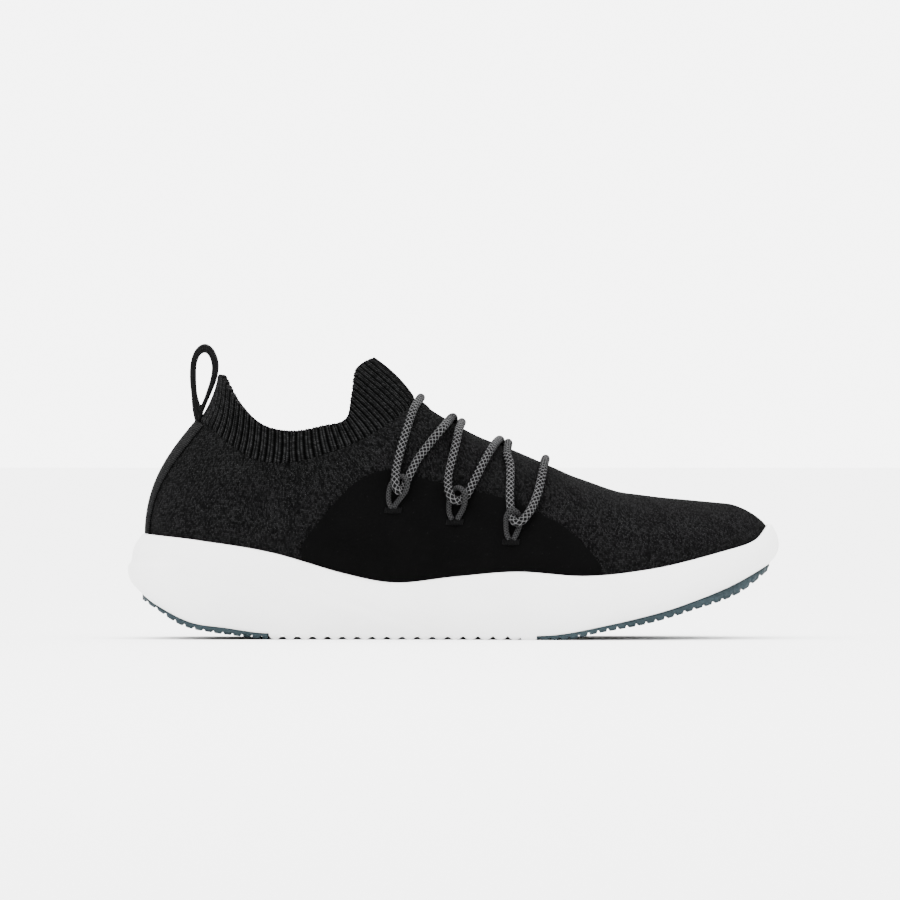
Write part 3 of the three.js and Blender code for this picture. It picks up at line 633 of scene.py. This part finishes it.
def lattice(n, cells_around, radius, pitch):
    """Two sets of threads round a cord: 1 on a thread and 0 in the diamonds between."""
    u, v = n.uv()
    turns = n.math("MULTIPLY", u, cells_around / (2 * math.pi * radius))
    rise = n.math("MULTIPLY", v, 1 / pitch)
    plus = n.math("ABSOLUTE", n.math("SUBTRACT", n.math("FRACT", n.math("ADD", rise, turns)), 0.5))
    minus = n.math("ABSOLUTE", n.math("SUBTRACT", n.math("FRACT", n.math("SUBTRACT", rise, turns)), 0.5))
    return n.math("MULTIPLY", n.math("MAXIMUM", plus, minus), 2.0)


LACE_COLOUR_PITCH = 2.4


def lace_material():
    n = Nodes("lace_braid", grey(0.03), 0.75, specular=CLOTH_GLOSS)
    line = lattice(n, BRAID_CELLS, LACE_R, LACE_COLOUR_PITCH)
    fibre = n.noise(1800.0, 3.0)
    tone = n.math("ADD", line, n.math("MULTIPLY", n.math("SUBTRACT", fibre, 0.5), 0.3))
    n.color(n.ramp(tone, [(0.66, grey(0.002)), (0.8, grey(0.022)), (0.98, grey(0.08))]))
    n.bump(line, 0.35, 0.8)
    return n.material


def cord_material():
    n = Nodes("loop_cord", grey(0.01), 0.85, specular=CLOTH_GLOSS)
    line = lattice(n, CORD_CELLS, CORD_R, CORD_PITCH)
    n.color(n.ramp(line, [(0.35, grey(0.002)), (0.6, grey(0.009)), (0.95, grey(0.024))]))
    n.bump(line, 0.2, 0.8)
    return n.material


def thread_material():
    n = Nodes("tack_thread", grey(0.003), 0.75, specular=CLOTH_GLOSS)
    fibre = n.noise(3200.0, 2.0)
    n.color(n.ramp(fibre, [(0.3, grey(0.0015)), (0.7, grey(0.005))]))
    n.bump(fibre, 0.06, 0.6)
    return n.material


def foam_material():
    n = Nodes("midsole_foam", (0.8, 0.8, 0.795), 0.62, specular=0.2)
    skin = n.noise(900.0, 4.0)
    cloud = n.noise(28.0, 3.0)
    n.color(n.ramp(cloud, [(0.3, (0.78, 0.78, 0.775)), (0.7, (0.84, 0.84, 0.835))]))
    n.roughness(n.math("ADD", n.math("MULTIPLY", cloud, 0.2), 0.5))
    n.bump(skin, 0.05, 0.5)
    return n.material


def rubber_material():
    n = Nodes("outsole_rubber", (0.018, 0.029, 0.035), 0.6, specular=0.1)
    skin = n.noise(1400.0, 4.0)
    cloud = n.noise(45.0, 3.0)
    n.color(n.ramp(cloud, [(0.3, (0.010, 0.017, 0.020)), (0.7, (0.016, 0.026, 0.031))]))
    n.roughness(n.math("ADD", n.math("MULTIPLY", skin, 0.25), 0.45))
    n.bump(skin, 0.06, 0.6)
    return n.material


def plain_cloth(name, color, scale=1500.0):
    n = Nodes(name, color, 0.95, specular=CLOTH_GLOSS)
    weave = n.noise(scale, 3.0)
    dark = tuple(c * 0.6 for c in color)
    light = tuple(min(1.0, c * 1.5) for c in color)
    n.color(n.ramp(weave, [(0.3, dark), (0.7, light)]))
    n.bump(weave, 0.12, 0.6)
    return n.material


KNIT_MAT = knit_material()
RIB_MAT = rib_material()
OVERLAY_MAT = overlay_material()
WEBBING_MAT = webbing_material()
LACE_MAT = lace_material()
CORD_MAT = cord_material()
THREAD_MAT = thread_material()
FOAM_MAT = foam_material()
RUBBER_MAT = rubber_material()
LINING_MAT = plain_cloth("lining_cloth", (0.004, 0.004, 0.0044))
BOARD_MAT = plain_cloth("board_felt", (0.5, 0.48, 0.43), 700.0)
SOCK_MAT = plain_cloth("sockliner_cloth", (0.004, 0.0042, 0.0048), 1100.0)


def place(obj, slot, node):
    """A piece that rides on the root body in place of one CAD node."""
    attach(obj, "root")
    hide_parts(node)


# ---- sole ----
def angles(x_from, x_to, count):
    return np.linspace(math.acos(-x_from / HALF), math.acos(-x_to / HALF), count)


def angle_of(x):
    return np.arccos(np.clip(-np.asarray(x, float) / HALF, -1, 1))


WALL_SHARES = [0.0, 0.22, 0.46, 0.75, 1.0]
LUG_PITCH, LUG_PITCH_ACROSS = 6.75, 8.2


def lug_notch(x, pitch, power):
    """0 on a lug's round tip and 1 at the bottom of the notch beside it."""
    phase = (x - HEEL_PAD_END) / pitch % 1.0
    return np.abs(2 * phase - 1) ** power


# Each crease of the side wall as x and z at its start, x and z at its end, depth and width.
CREASES = [(-122, 29.5, -92, 23.5, 0.5, 1.3), (-70, 24.5, -17, 6.5, 0.6, 1.6)]
# The groove round the heel: where it starts, how long it takes to deepen, its height and depth.
GROOVE_FRONT, GROOVE_FADE, GROOVE_Z, GROOVE_DEPTH = -118, 25, 34.6, 1.3


def crease_depth(x, z):
    """How far the sculpted facets of the side wall sink in, in millimetres."""
    def fold(x0, z0, x1, z1, depth, width):
        along_x, along_z = x1 - x0, z1 - z0
        length = math.hypot(along_x, along_z)
        t = ((x - x0) * along_x + (z - z0) * along_z) / length ** 2
        ends = np.clip(1.2 - np.abs(np.clip(t, -0.2, 1.2) - 0.5) * 2, 0, 1)
        off = ((z - z0) * along_x - (x - x0) * along_z) / length
        ridge = np.exp(-(off / width) ** 2)
        step = 0.5 / (1 + np.exp(-off / (0.5 * width)))
        return depth * np.sqrt(ends) * (ridge + step)

    return sum(fold(*crease) for crease in CREASES)


def sole_wall(side, angle, bottom, rows):
    """One side of the midsole's section from the bottom edge up to the lip, as a fine grid."""
    x = outline_x(angle)
    inset, top, base = lip_inset(x), top_line(x), pad_line(x)
    shares = np.array(WALL_SHARES)
    insets = np.stack([tread_inset(angle), 1.2 + 0 * x, 0 * x, 0.3 * inset, inset], -1)
    heights = base[:, None] + shares * (top - base)[:, None]
    knots = np.arange(len(shares))
    fine = np.linspace(0, knots[-1], rows)
    weights = np.stack([smooth(list(zip(knots, np.eye(len(shares))[k])))(fine) for k in knots])
    fine_inset, z = insets @ weights, heights @ weights
    groove_share = np.clip((GROOVE_FRONT - x) / GROOVE_FADE, 0, 1)[:, None]
    groove = groove_share / (1 + np.exp((GROOVE_Z - z) / 0.35)) * GROOVE_DEPTH
    fine_inset = fine_inset + groove * np.clip((44 - z) / 8, 0, 1)
    fine_inset = fine_inset + crease_depth(x[:, None] * 0.985, z)
    wall = raised(outline(side, angle[:, None], fine_inset), z)
    edge = raised(outline(side, angle, tread_inset(angle) + 0.5), bottom)
    return np.concatenate([edge[:, None], wall], axis=1)


def add_midsole():
    near_steps = [HEEL_PAD_END + 0.35, HEEL_PAD_END + 0.5, FORE_PAD_START - 0.5, FORE_PAD_START - 0.35]
    x_values = np.unique(np.concatenate([
        outline_x(angles(-HALF, HEEL_PAD_END, 60)), np.arange(HEEL_PAD_END + 0.6, FORE_PAD_START - 0.6, 0.6),
        outline_x(angles(FORE_PAD_START, HALF, 80)), near_steps]))
    angle = angle_of(x_values)
    angle[0], angle[-1] = 0, math.pi
    x = outline_x(angle)
    grounded = (x > HEEL_PAD_END + 0.4) & (x < FORE_PAD_START - 0.4)
    lugged = grounded & (x < LUG_FRONT)
    notch = pad_line(x) * lug_notch(x, LUG_PITCH, 2.2)
    bottom = np.where(grounded, np.where(lugged, notch, 0), pad_line(x))
    lateral, medial = (sole_wall(side, angle, bottom, 26) for side in (LATERAL, MEDIAL))

    def lip(side):
        """Over the lip's rounded top and down the inside of the wall."""
        rows = []
        for inset_share, rise in ((0.12, 0.35), (0.5, 0.6), (0.88, 0.35), (1.0, -0.2)):
            inset = lip_inset(x) + LIP * inset_share
            rows.append(raised(outline(side, angle, inset), top_line(x) + rise - 0.35))
        rows.append(raised(outline(side, angle, wall_inset(angle)), floor_line(x)))
        return np.stack(rows, 1)

    def between(a, b, count):
        t = np.linspace(0, 1, count + 2)[1:-1, None]
        return a[:, None] * (1 - t) + b[:, None] * t

    inside_l, inside_m = lip(LATERAL), lip(MEDIAL)
    floor = between(inside_l[:, -1], inside_m[:, -1], 6)
    base = between(medial[:, 0], lateral[:, 0], 80)
    across = pad_line(x)[:, None] * lug_notch(base[..., 1], LUG_PITCH_ACROSS, 7.0)
    base[..., 2] = np.where(lugged[:, None], np.maximum(base[..., 2], across), base[..., 2])
    loops = np.concatenate([lateral, inside_l, floor, inside_m[:, ::-1], medial[:, ::-1], base], axis=1)
    faces = grid_faces(*loops.shape[:2], wrap_columns=True)
    obj = build("midsole_skin", loops.reshape(-1, 3), faces, None, FOAM_MAT)
    place(obj, "midsole_foam", "midsole")


def tread_blocks(x, y):
    """How deep the grooves between the outsole's small blocks are, 0 to 1."""
    pitch_x, pitch_y, groove = 4.4, 5.2, 0.17
    row = np.floor(x / pitch_x)
    phase_x = x / pitch_x % 1.0
    phase_y = (y / pitch_y + 0.5 * (row % 2)) % 1.0
    edge = np.minimum(np.minimum(phase_x, 1 - phase_x), np.minimum(phase_y, 1 - phase_y))
    return 1 - np.clip((edge - groove / 2) * 12, 0, 1)


def add_outsole(name, node, x_from, x_to):
    """A rubber pad: blocks below, a thin wall, and a flat back bonded to the midsole."""
    span = np.arange(x_from + 0.3, x_to - 0.3, 0.5)
    ends = outline_x(angles(x_from, x_to, 40))
    angle = angle_of(np.unique(np.concatenate([span, ends])))
    angle[0] = 0 if x_from <= -HALF else angle[0]
    angle[-1] = math.pi if x_to >= HALF else angle[-1]
    x = outline_x(angle)
    share = np.linspace(0, 1, 150)
    lateral, medial = (outline(side, angle, tread_inset(angle)) for side in (LATERAL, MEDIAL))
    row = lateral[:, None] * (1 - share[:, None]) + medial[:, None] * share[:, None]
    tread = np.maximum(tread_line(x), 0)
    thick = np.maximum(pad_line(x) - GAP - tread, 0.4)[:, None]
    blocks = tread_blocks(row[..., 0], row[..., 1]) * np.minimum(1.3, thick * 0.55)
    under = raised(row, tread[:, None] + blocks)
    back = raised(row, (pad_line(x) - GAP)[:, None] + 0 * share)
    loops = np.concatenate([under, back[:, ::-1]], axis=1)
    n, m = loops.shape[:2]
    faces = grid_faces(n, m, wrap_columns=True)
    for end, is_cut in ((0, x_from > -HALF), (n - 1, x_to < HALF)):
        if is_cut:
            faces.append(tuple(end * m + k for k in range(m)))
    place(build(name, loops.reshape(-1, 3), faces, None, RUBBER_MAT), "outsole_rubber", node)


# ---- upper ----
def ring_grid(make, columns, limit=1.0):
    """Columns round the whole upper: out along the lateral side and back along the medial one."""
    s = np.linspace(0, limit, columns)[:, None]
    return np.concatenate([make(LATERAL, s), make(MEDIAL, s[-2:0:-1])])


def add_knit_body():
    columns = 150
    v = np.concatenate([[-1, -0.5, -0.1], np.linspace(0, 1, 60)])[None]
    outer = ring_grid(lambda side, s: upper(side, s, v), columns)
    inner = ring_grid(lambda side, s: off_upper(side, s, v, -KNIT), columns)
    s = np.linspace(0, 1, columns)
    ring_s = np.concatenate([s, s[-2:0:-1]])
    on_ridge = [min(a, b) >= SEAM_SHARE - 1e-9 and max(a, b) > SEAM_SHARE + 1e-9
                for a, b in zip(ring_s, np.roll(ring_s, -1))]
    lat_uv = grid_uv(outer[:columns])
    med_uv = grid_uv(np.concatenate([outer[:1], outer[:columns - 2:-1]]))
    uv = np.concatenate([lat_uv, med_uv[-2:0:-1] * (-1, 1)])
    obj = sheet("knit_upper", outer, inner, KNIT_MAT, wraps=True, zipped=on_ridge, uv=uv)
    place(obj, "upper_knit", "knit_body")


TONGUE_BULGE = np.array((2.5, 0, 2.3))


def collar_point(side, s, v):
    """The middle of the collar's outer face, a curve from the seam to the top edge."""
    seam, edge = seam_point(side, s), edge_point(side, s)
    lean = unit(seam - upper(side, s, 0.9))
    start = seam + lean * 0.1
    onward = start + lean * (0.4 * np.linalg.norm(seam - edge, axis=-1))[..., None]
    tongue = (np.asarray(s, float) / SEAM_SHARE)[..., None] ** 6
    handle = onward * (1 - tongue) + ((start + edge) / 2 + TONGUE_BULGE) * tongue
    return start * (1 - v) ** 2 + 2 * handle * v * (1 - v) + edge * v * v


def collar_normal(side, s, v):
    step = 0.01
    a, b = np.clip(s, step, SEAM_SHARE - step), np.clip(v, step, 1 - step)
    along = collar_point(side, a + step, b) - collar_point(side, a - step, b)
    up = collar_point(side, a, b + step) - collar_point(side, a, b - step)
    normal = np.cross(along, up) * -side
    normal[..., 1] = np.where((s <= 0) | (s >= SEAM_SHARE), 0, normal[..., 1])
    return unit(normal)


def add_rib_collar():
    """The 2 by 2 rib: pairs of wales with a deep gap between, rolled over at the top edge."""
    columns, rows = 430, 26
    s = np.linspace(0, SEAM_SHARE, columns)[:, None]
    v = np.linspace(0, 1, rows)[None, :, None]
    phase = s * RIB_COUNT % 1.0
    wales = np.maximum(*(np.exp(-((phase - middle) / WALE_WIDTH) ** 2) for middle in WALES))
    fade = np.clip(v[..., 0] / 0.06, 0.2, 1)
    relief = (0.95 * wales * fade - 0.45)[..., None]

    def face(side, depth, sign):
        points = np.stack([collar_point(side, s, row) for row in v[0]], 1)
        normals = np.stack([collar_normal(side, s, row) for row in v[0]], 1)
        flat = points.reshape(columns, rows, 3)
        return flat + normals.reshape(columns, rows, 3) * (depth + sign * relief)

    def whole(depth, sign):
        lateral, medial = face(LATERAL, depth, sign), face(MEDIAL, depth, sign)
        return np.concatenate([lateral, medial[-2:0:-1]])

    outer, inner = whole(0, 1), whole(-COLLAR, -1)
    height = grid_uv(outer)[..., 1]
    ring_s = np.concatenate([s, s[-2:0:-1]])
    ribs = np.repeat(ring_s * RIB_COUNT * RIB_PITCH, rows, 1)
    uv = np.stack([ribs, height], -1)
    obj = soften(sheet("rib_collar_knit", outer, inner, RIB_MAT, wraps=True, uv=uv), 0.7, 3, 60)
    place(obj, "rib_knit", "rib_collar")


def lip_share(side, s):
    """The v at which the upper comes clear of the sole's lip."""
    lip = top_line(outline_x(column_angle(s))) + 0.25
    return solve(lambda v: upper(side, s, v)[..., 2] - lip, np.zeros_like(s), 0.0, 0.3)


def overlay_columns(side):
    start, _ = place_at(side, -69.5, 38.4)
    end, _ = place_at(side, 67.5, 32.0)
    return np.linspace(float(start), float(end), 150)[:, None]


def add_overlay(name, node, side):
    s = overlay_columns(side)

    def over(v):
        p = upper(side, s, v)
        return p[..., 2] - overlay_top(p[..., 0])

    low = lip_share(side, s)
    top = np.maximum(solve(over, np.zeros_like(s), 0.02, 0.98), low + 0.03)
    share = np.linspace(0, 1, 40)[None]
    v = low + (top - low) * share
    outer = off_upper(side, s, v, OVERLAY_FACE)
    inner = off_upper(side, s, v, UNDER_OVERLAY)
    obj = soften(sheet(name, outer, inner, OVERLAY_MAT), 0.45)
    place(obj, "overlay", node)


def heel_grid(reach, columns, v, height):
    s = np.linspace(0, reach, columns)[:, None]
    medial, lateral = (off_upper(side, s, v, height) for side in (MEDIAL, LATERAL))
    return np.concatenate([medial[:0:-1], lateral])


def add_heel_lining():
    v = np.linspace(0.03, 0.965, 30)[None]
    high = -KNIT - UNDER_LINING
    outer, inner = (heel_grid(0.46, 50, v, height) for height in (high, high - LINING))
    obj = soften(sheet("heel_lining_cloth", outer, inner, LINING_MAT), 0.35)
    place(obj, "lining", "heel_lining")


def add_heel_tape():
    low = float(lip_share(LATERAL, np.zeros(1))[0])
    v = np.linspace(low, 0.99, 70)[None]
    share = np.linspace(-1, 1, 25)

    def column(t, height):
        side = LATERAL if t < 0 else MEDIAL
        target = np.full_like(v, TAPE_HALF * abs(t))
        s = solve(lambda s: np.abs(upper(side, s, v)[..., 1]), target, 0.0, 0.3) if t else np.zeros_like(v)
        return off_upper(side, s, v, height)[0]

    def face(height):
        return np.stack([column(t, height(t)) for t in share[::-1]])

    def crown(t):
        stitch = 0.45 * math.exp(-((abs(t) - 0.8) / 0.07) ** 2)
        return 0.25 + TAPE - stitch

    outer, inner = face(crown), face(lambda t: UNDER_TAPE)
    obj = soften(sheet("heel_tape_webbing", outer, inner, WEBBING_MAT), 0.5)
    place(obj, "webbing", "heel_tape")


# ---- pull loop ----
# Matching (x, z) points of the band's outer and inner face, up the back and down the front.
BAND_OUTSIDE = [(-117.7, 96.4), (-120.1, 104), (-120.9, 112.5), (-121.5, 119), (-121.3, 126),
                (-119.8, 131.5), (-117, 134.9), (-113.9, 135.6), (-110.9, 133.6), (-108.9, 129.6),
                (-108.2, 125.2), (-109.1, 119.6), (-111.3, 113.8), (-115.1, 104.8)]
BAND_INSIDE = [(-116.6, 107.6), (-117.6, 110.4), (-118.2, 113), (-118.6, 118.5), (-118.5, 125.4),
               (-117.4, 129.4), (-115.9, 131.1), (-114.2, 131.4), (-112.7, 129.9), (-111.7, 127.2),
               (-111.4, 123.6), (-112.2, 118.8), (-113.8, 113.8), (-115.4, 109.4)]
BAND_WIDTH = 11.0


def ring_curve(points, steps):
    """A closed Catmull-Rom curve through (x, z) points, with the same steps between each two."""
    knots = vec(*np.array([(x, 0, z) for x, z in points], float).T)
    a, b, c, d = (np.roll(knots, -k, 0)[:, None] for k in (-1, 0, 1, 2))
    f = np.linspace(0, 1, steps, endpoint=False)[None, :, None]
    return catmull_rom(a, b, c, d, f).reshape(-1, 3)


def add_pull_loop():
    far, near = (ring_curve(points, 12) for points in (BAND_OUTSIDE, BAND_INSIDE))
    centre, outward = (far + near) / 2, unit(far - near)
    half_thick = np.linalg.norm(far - near, axis=-1, keepdims=True) / 2
    corners = 20
    turn = 2 * math.pi * np.arange(corners + 1) / corners
    across = np.sign(np.cos(turn)) * np.abs(np.cos(turn)) ** 0.45 * BAND_WIDTH / 2
    through = np.sign(np.sin(turn)) * np.abs(np.sin(turn)) ** 0.7
    loops = (centre[:, None] + np.array((0, 1, 0)) * across[None, :, None]
             + outward[:, None] * (through[None, :] * half_thick)[..., None])
    along = np.concatenate([[0], np.cumsum(np.linalg.norm(np.diff(centre, axis=0), axis=1))])
    uv = np.stack(np.broadcast_arrays(across[None, :], along[:, None]), -1)
    obj = loops_body("pull_loop_webbing", loops, WEBBING_MAT, uv.reshape(-1, 2), ring=True)
    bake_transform(obj)
    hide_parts("pull_loop")


# ---- lace and its loops ----
# Each strand of the lace as (x, z, height over the upper), from the ridge down or from below up.
STRANDS = {
    "A": [(-18.3, 105.5, 2.2), (-20.6, 98.8, 2.1), (-23.3, 89.8, 2.1), (-25.4, 81.8, 2.2), (-26.5, 76, 4.2),
          (-26.5, 72, 5.8), (-26.2, 69.6, 5.8)],
    "B": [(-25, 68, 5.2), (-23.2, 69, 4.0), (-21.6, 72.4, 3.4), (-19.4, 76.8, 3.0), (-16.4, 82.4, 2.2),
          (-10, 90.9, 2.2), (-5.2, 96.6, 2.2)],
    "C": [(2.2, 95, 2.1), (1.2, 90, 2.1), (-0.6, 82.9, 2.1), (-2.2, 76, 2.5), (-2.5, 71, 4.0),
          (-1.9, 67.2, 5.6), (-0.4, 64.4, 5.8)],
    "D": [(1.6, 63.6, 4.9), (3.8, 64.2, 3.8), (6, 66.2, 3.4), (8.2, 70.2, 3.0), (10.6, 74.6, 2.3),
          (13.7, 80.8, 2.1), (17, 86.6, 2.1)],
    "E": [(24.7, 84.5, 2.1), (25.9, 80, 2.1), (26, 73, 2.1), (25.8, 66, 3.0), (26, 61.4, 3.4),
          (26.4, 58, 3.6), (26.9, 55.4, 4.7)],
    "F": [(28.4, 53.8, 5.6), (31, 54.4, 5.6), (33.8, 57.4, 4.6), (36.4, 61.8, 3.0), (38.6, 67.4, 2.2),
          (40.2, 74, 2.1), (41.2, 78.4, 2.1)],
}
# On the medial side two strands cross just below the ridge, one under and one over the other.
MEDIAL_STRANDS = {
    **STRANDS,
    "B": STRANDS["B"][:-2] + [(-10, 90.2, 2.1), (-4, 93.6, 2.0), (1, 95.2, 2.0)],
    "C": [(0.2, 97, 4.4), (1.2, 94.6, 6.0), (1.4, 91, 4.2), (0.9, 87, 2.3)] + STRANDS["C"][2:],
    "D": STRANDS["D"][:-2] + [(13.7, 80.2, 2.1), (18.6, 83.2, 2.0), (22.8, 84.6, 2.0)],
    "E": [(22.2, 86, 4.4), (23.4, 84, 6.0), (24.4, 80.6, 4.2), (25.6, 76.6, 2.3)] + STRANDS["E"][2:],
}
# The x at which each strand reaches the ridge.
RIDGE = {"A": -16.2, "B": -1.3, "C": 2.7, "D": 20.6, "E": 24.4, "F": 41.6}
# The cord loops from the ankle to the toe, in the same terms as the strands, and their tacks.
CORD_PATHS = [
    [(-27.9, 60, 2.4), (-29.4, 62.6, 2.6), (-29.5, 67.5, 2.6), (-28.2, 71.6, 2.7), (-25.6, 74.2, 3.2),
     (-22.8, 74.4, 5.2), (-21, 71.8, 6.8), (-21.6, 68.6, 6.4), (-24.2, 64.8, 3.8), (-26.6, 61.6, 2.6),
     (-27.4, 60, 2.4)],
    [(-0.4, 54.8, 2.4), (-1.7, 57.2, 2.6), (-2, 62.5, 2.6), (-1.2, 66.4, 2.7), (0.8, 69, 3.2),
     (3.2, 69.2, 5.4), (5.2, 66.6, 6.7), (5.3, 63.4, 5.6), (4.2, 59.6, 3.2), (2.2, 56, 2.6),
     (1.4, 54.8, 2.4)],
    [(25.6, 45.6, 2.4), (24.4, 48.5, 2.6), (24, 53, 3.2), (24.3, 56.8, 5.4), (26.2, 59.2, 6.6),
     (28.6, 58.6, 5.4), (30.2, 56, 2.9), (30.2, 52.4, 2.6), (28.6, 48.4, 2.6), (27.2, 45.6, 2.4)],
]
TACKS = [(-27.6, 59.2), (0.6, 53.8), (26.2, 44.8)]


def over_ridge(x, height):
    s = float(solve(lambda s: ridge_point(s)[..., 0], np.array(float(x)), SEAM_SHARE, 1.0))
    return off_upper(LATERAL, np.array(s), np.array(1.0), np.array(height))[None]


def lace_route():
    """One ring: down and up every strand, over the ridge between the two sides."""
    lateral = {key: above(LATERAL, points) for key, points in STRANDS.items()}
    medial = {key: above(MEDIAL, points) for key, points in MEDIAL_STRANDS.items()}
    ridge = {key: over_ridge(x, LACE_R + 0.2) for key, x in RIDGE.items()}
    return np.concatenate([
        ridge["A"], lateral["A"], lateral["B"], ridge["B"], medial["C"], medial["D"], ridge["E"],
        lateral["E"], lateral["F"], ridge["F"], medial["F"][::-1], medial["E"][::-1], ridge["D"],
        lateral["D"][::-1], lateral["C"][::-1], ridge["C"], medial["B"][::-1], medial["A"][::-1]])


def braid(cells, pitch, depth):
    """The relief of two sets of threads that cross round a cord."""
    def relief(along, around):
        plus = np.abs((along / pitch + around * cells / (2 * math.pi)) % 1.0 - 0.5)
        minus = np.abs((along / pitch - around * cells / (2 * math.pi)) % 1.0 - 0.5)
        return depth * (np.maximum(plus, minus) * 2 - 0.8)

    return relief


def add_lace():
    obj, length = cord("lace_braid", lace_route(), LACE_R - 0.05, 20, 0.46, LACE_MAT, closed=True,
                       relief=braid(BRAID_CELLS, BRAID_PITCH, 0.28))
    place(obj, "lace", "lace")
    return length


def add_loops_and_tacks():
    for word, side in (("lateral", LATERAL), ("medial", MEDIAL)):
        for number, (path, tack) in enumerate(zip(CORD_PATHS, TACKS), 1):
            obj, _ = cord(f"cord_loop_{word}_{number}", above(side, path), CORD_R, 12, 0.35, CORD_MAT,
                          relief=braid(CORD_CELLS, CORD_PITCH, 0.12))
            place(obj, "lace_loop_cord", f"lace_loop_{word}_{number}")
            add_tack(f"tack_{word}_{number}", f"bartack_{word}_{number}", side, *tack)


def add_tack(name, node, side, x, z):
    """A bar tack: close zigzag threads over the feet of a cord loop."""
    threads, half_length, half_height = 11, 3.6, 1.2
    lean = half_length / threads
    route = []
    for k in range(threads):
        t = -half_length + 2 * half_length * k / (threads - 1)
        bulge = 1.6 * math.exp(-(t / 1.9) ** 2)
        low, shoulder, crest = 0.1, 0.5 + bulge * 0.8, 0.6 + bulge
        for share, rise, h in ((-1, -1, low), (-0.5, -0.7, shoulder), (0, 0, crest),
                               (0.5, 0.7, shoulder), (1, 1, low)):
            route.append((x + t + share * lean, z + rise * half_height, OVERLAY_FACE + h))
    obj, _ = cord(name, above(side, route), THREAD_R, 8, 0.25, THREAD_MAT)
    place(obj, "stitching", node)


# ---- hidden CAD pieces keep their shape and get a material ----
def finish_node(node, material):
    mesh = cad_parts[node].data
    mesh.materials.clear()
    mesh.materials.append(material)


def add_stage():
    size = 40.0
    points = [(-size, -size, 0), (size, -size, 0), (size, size, 0), (-size, size, 0)]
    mesh = bpy.data.meshes.new("floor")
    mesh.from_pydata(points, [], [(0, 1, 2, 3)])
    floor = bpy.data.objects.new("floor", mesh)
    bpy.context.scene.collection.objects.link(floor)
    n = Nodes("pale_floor", (0.95, 0.95, 0.95), 0.9, specular=0.05)
    mesh.materials.append(n.material)


def add_light(name, place_at_m, size, power):
    """A rectangular light that faces the middle of the shoe."""
    aim = (0, 0, 0.05)
    data = bpy.data.lights.new(name, "AREA")
    data.shape = "RECTANGLE"
    data.size, data.size_y = size
    data.energy = power
    light = bpy.data.objects.new(name, data)
    light.location = place_at_m
    light.rotation_euler = (Vector(aim) - Vector(place_at_m)).to_track_quat("-Z", "Y").to_euler()
    bpy.context.scene.collection.objects.link(light)


# The world is a bright sky over a dimmer ring, with a bright backdrop where the camera looks.
SKY_LOW, SKY_HIGH, BACKDROP = 2.0, 7.1, 6.4
VIEW_WIDTH, VIEW_X, VIEW_Z = 415, -1.6, 86.7
LENS, SENSOR = 360.0, 36.0


def add_world():
    world = bpy.data.worlds.new("studio")
    world.use_nodes = True
    nodes, links = world.node_tree.nodes, world.node_tree.links
    background = nodes["Background"]
    background.inputs[0].default_value = (1, 1, 1, 1)
    direction, split = nodes.new("ShaderNodeTexCoord"), nodes.new("ShaderNodeSeparateXYZ")
    links.new(direction.outputs["Generated"], split.inputs[0])
    sky, backdrop = nodes.new("ShaderNodeMapRange"), nodes.new("ShaderNodeMapRange")
    for node, component, limits, levels in ((sky, 2, (0.3, 0.7), (SKY_LOW, SKY_HIGH)),
                                            (backdrop, 1, (0.96, 0.99), (0, BACKDROP - SKY_LOW))):
        links.new(split.outputs[component], node.inputs["Value"])
        for name, value in zip(("From Min", "From Max", "To Min", "To Max"), (*limits, *levels)):
            node.inputs[name].default_value = value
    total = nodes.new("ShaderNodeMath")
    links.new(sky.outputs[0], total.inputs[0])
    links.new(backdrop.outputs[0], total.inputs[1])
    links.new(total.outputs[0], background.inputs[1])
    bpy.context.scene.world = world


def add_camera():
    data = bpy.data.cameras.new("camera")
    data.lens = LENS
    data.sensor_width = SENSOR
    camera = bpy.data.objects.new("camera", data)
    camera.location = (VIEW_X * MM, -VIEW_WIDTH * MM * LENS / SENSOR, VIEW_Z * MM)
    camera.rotation_euler = (math.radians(90), 0, 0)
    bpy.context.scene.collection.objects.link(camera)
    bpy.context.scene.camera = camera


add_world()
add_light("key", (-0.7, -1.5, 1.3), (1.2, 1.0), 20)
add_camera()
add_stage()
add_midsole()
add_outsole("heel_pad_rubber", "heel_outsole", -HALF, HEEL_PAD_END)
add_outsole("forefoot_pad_rubber", "forefoot_outsole", FORE_PAD_START, HALF)
add_knit_body()
add_rib_collar()
add_overlay("lateral_overlay_suede", "lateral_overlay", LATERAL)
add_overlay("medial_overlay_suede", "medial_overlay", MEDIAL)
add_heel_lining()
add_heel_tape()
add_pull_loop()
LACE_LENGTH = add_lace()
add_loops_and_tacks()
for hidden in ("strobel_board", "heel_counter", "toe_puff", "sockliner_foam"):
    finish_node(hidden, BOARD_MAT)
finish_node("sockliner_cloth", SOCK_MAT)
print("lace length in mm", round(LACE_LENGTH))
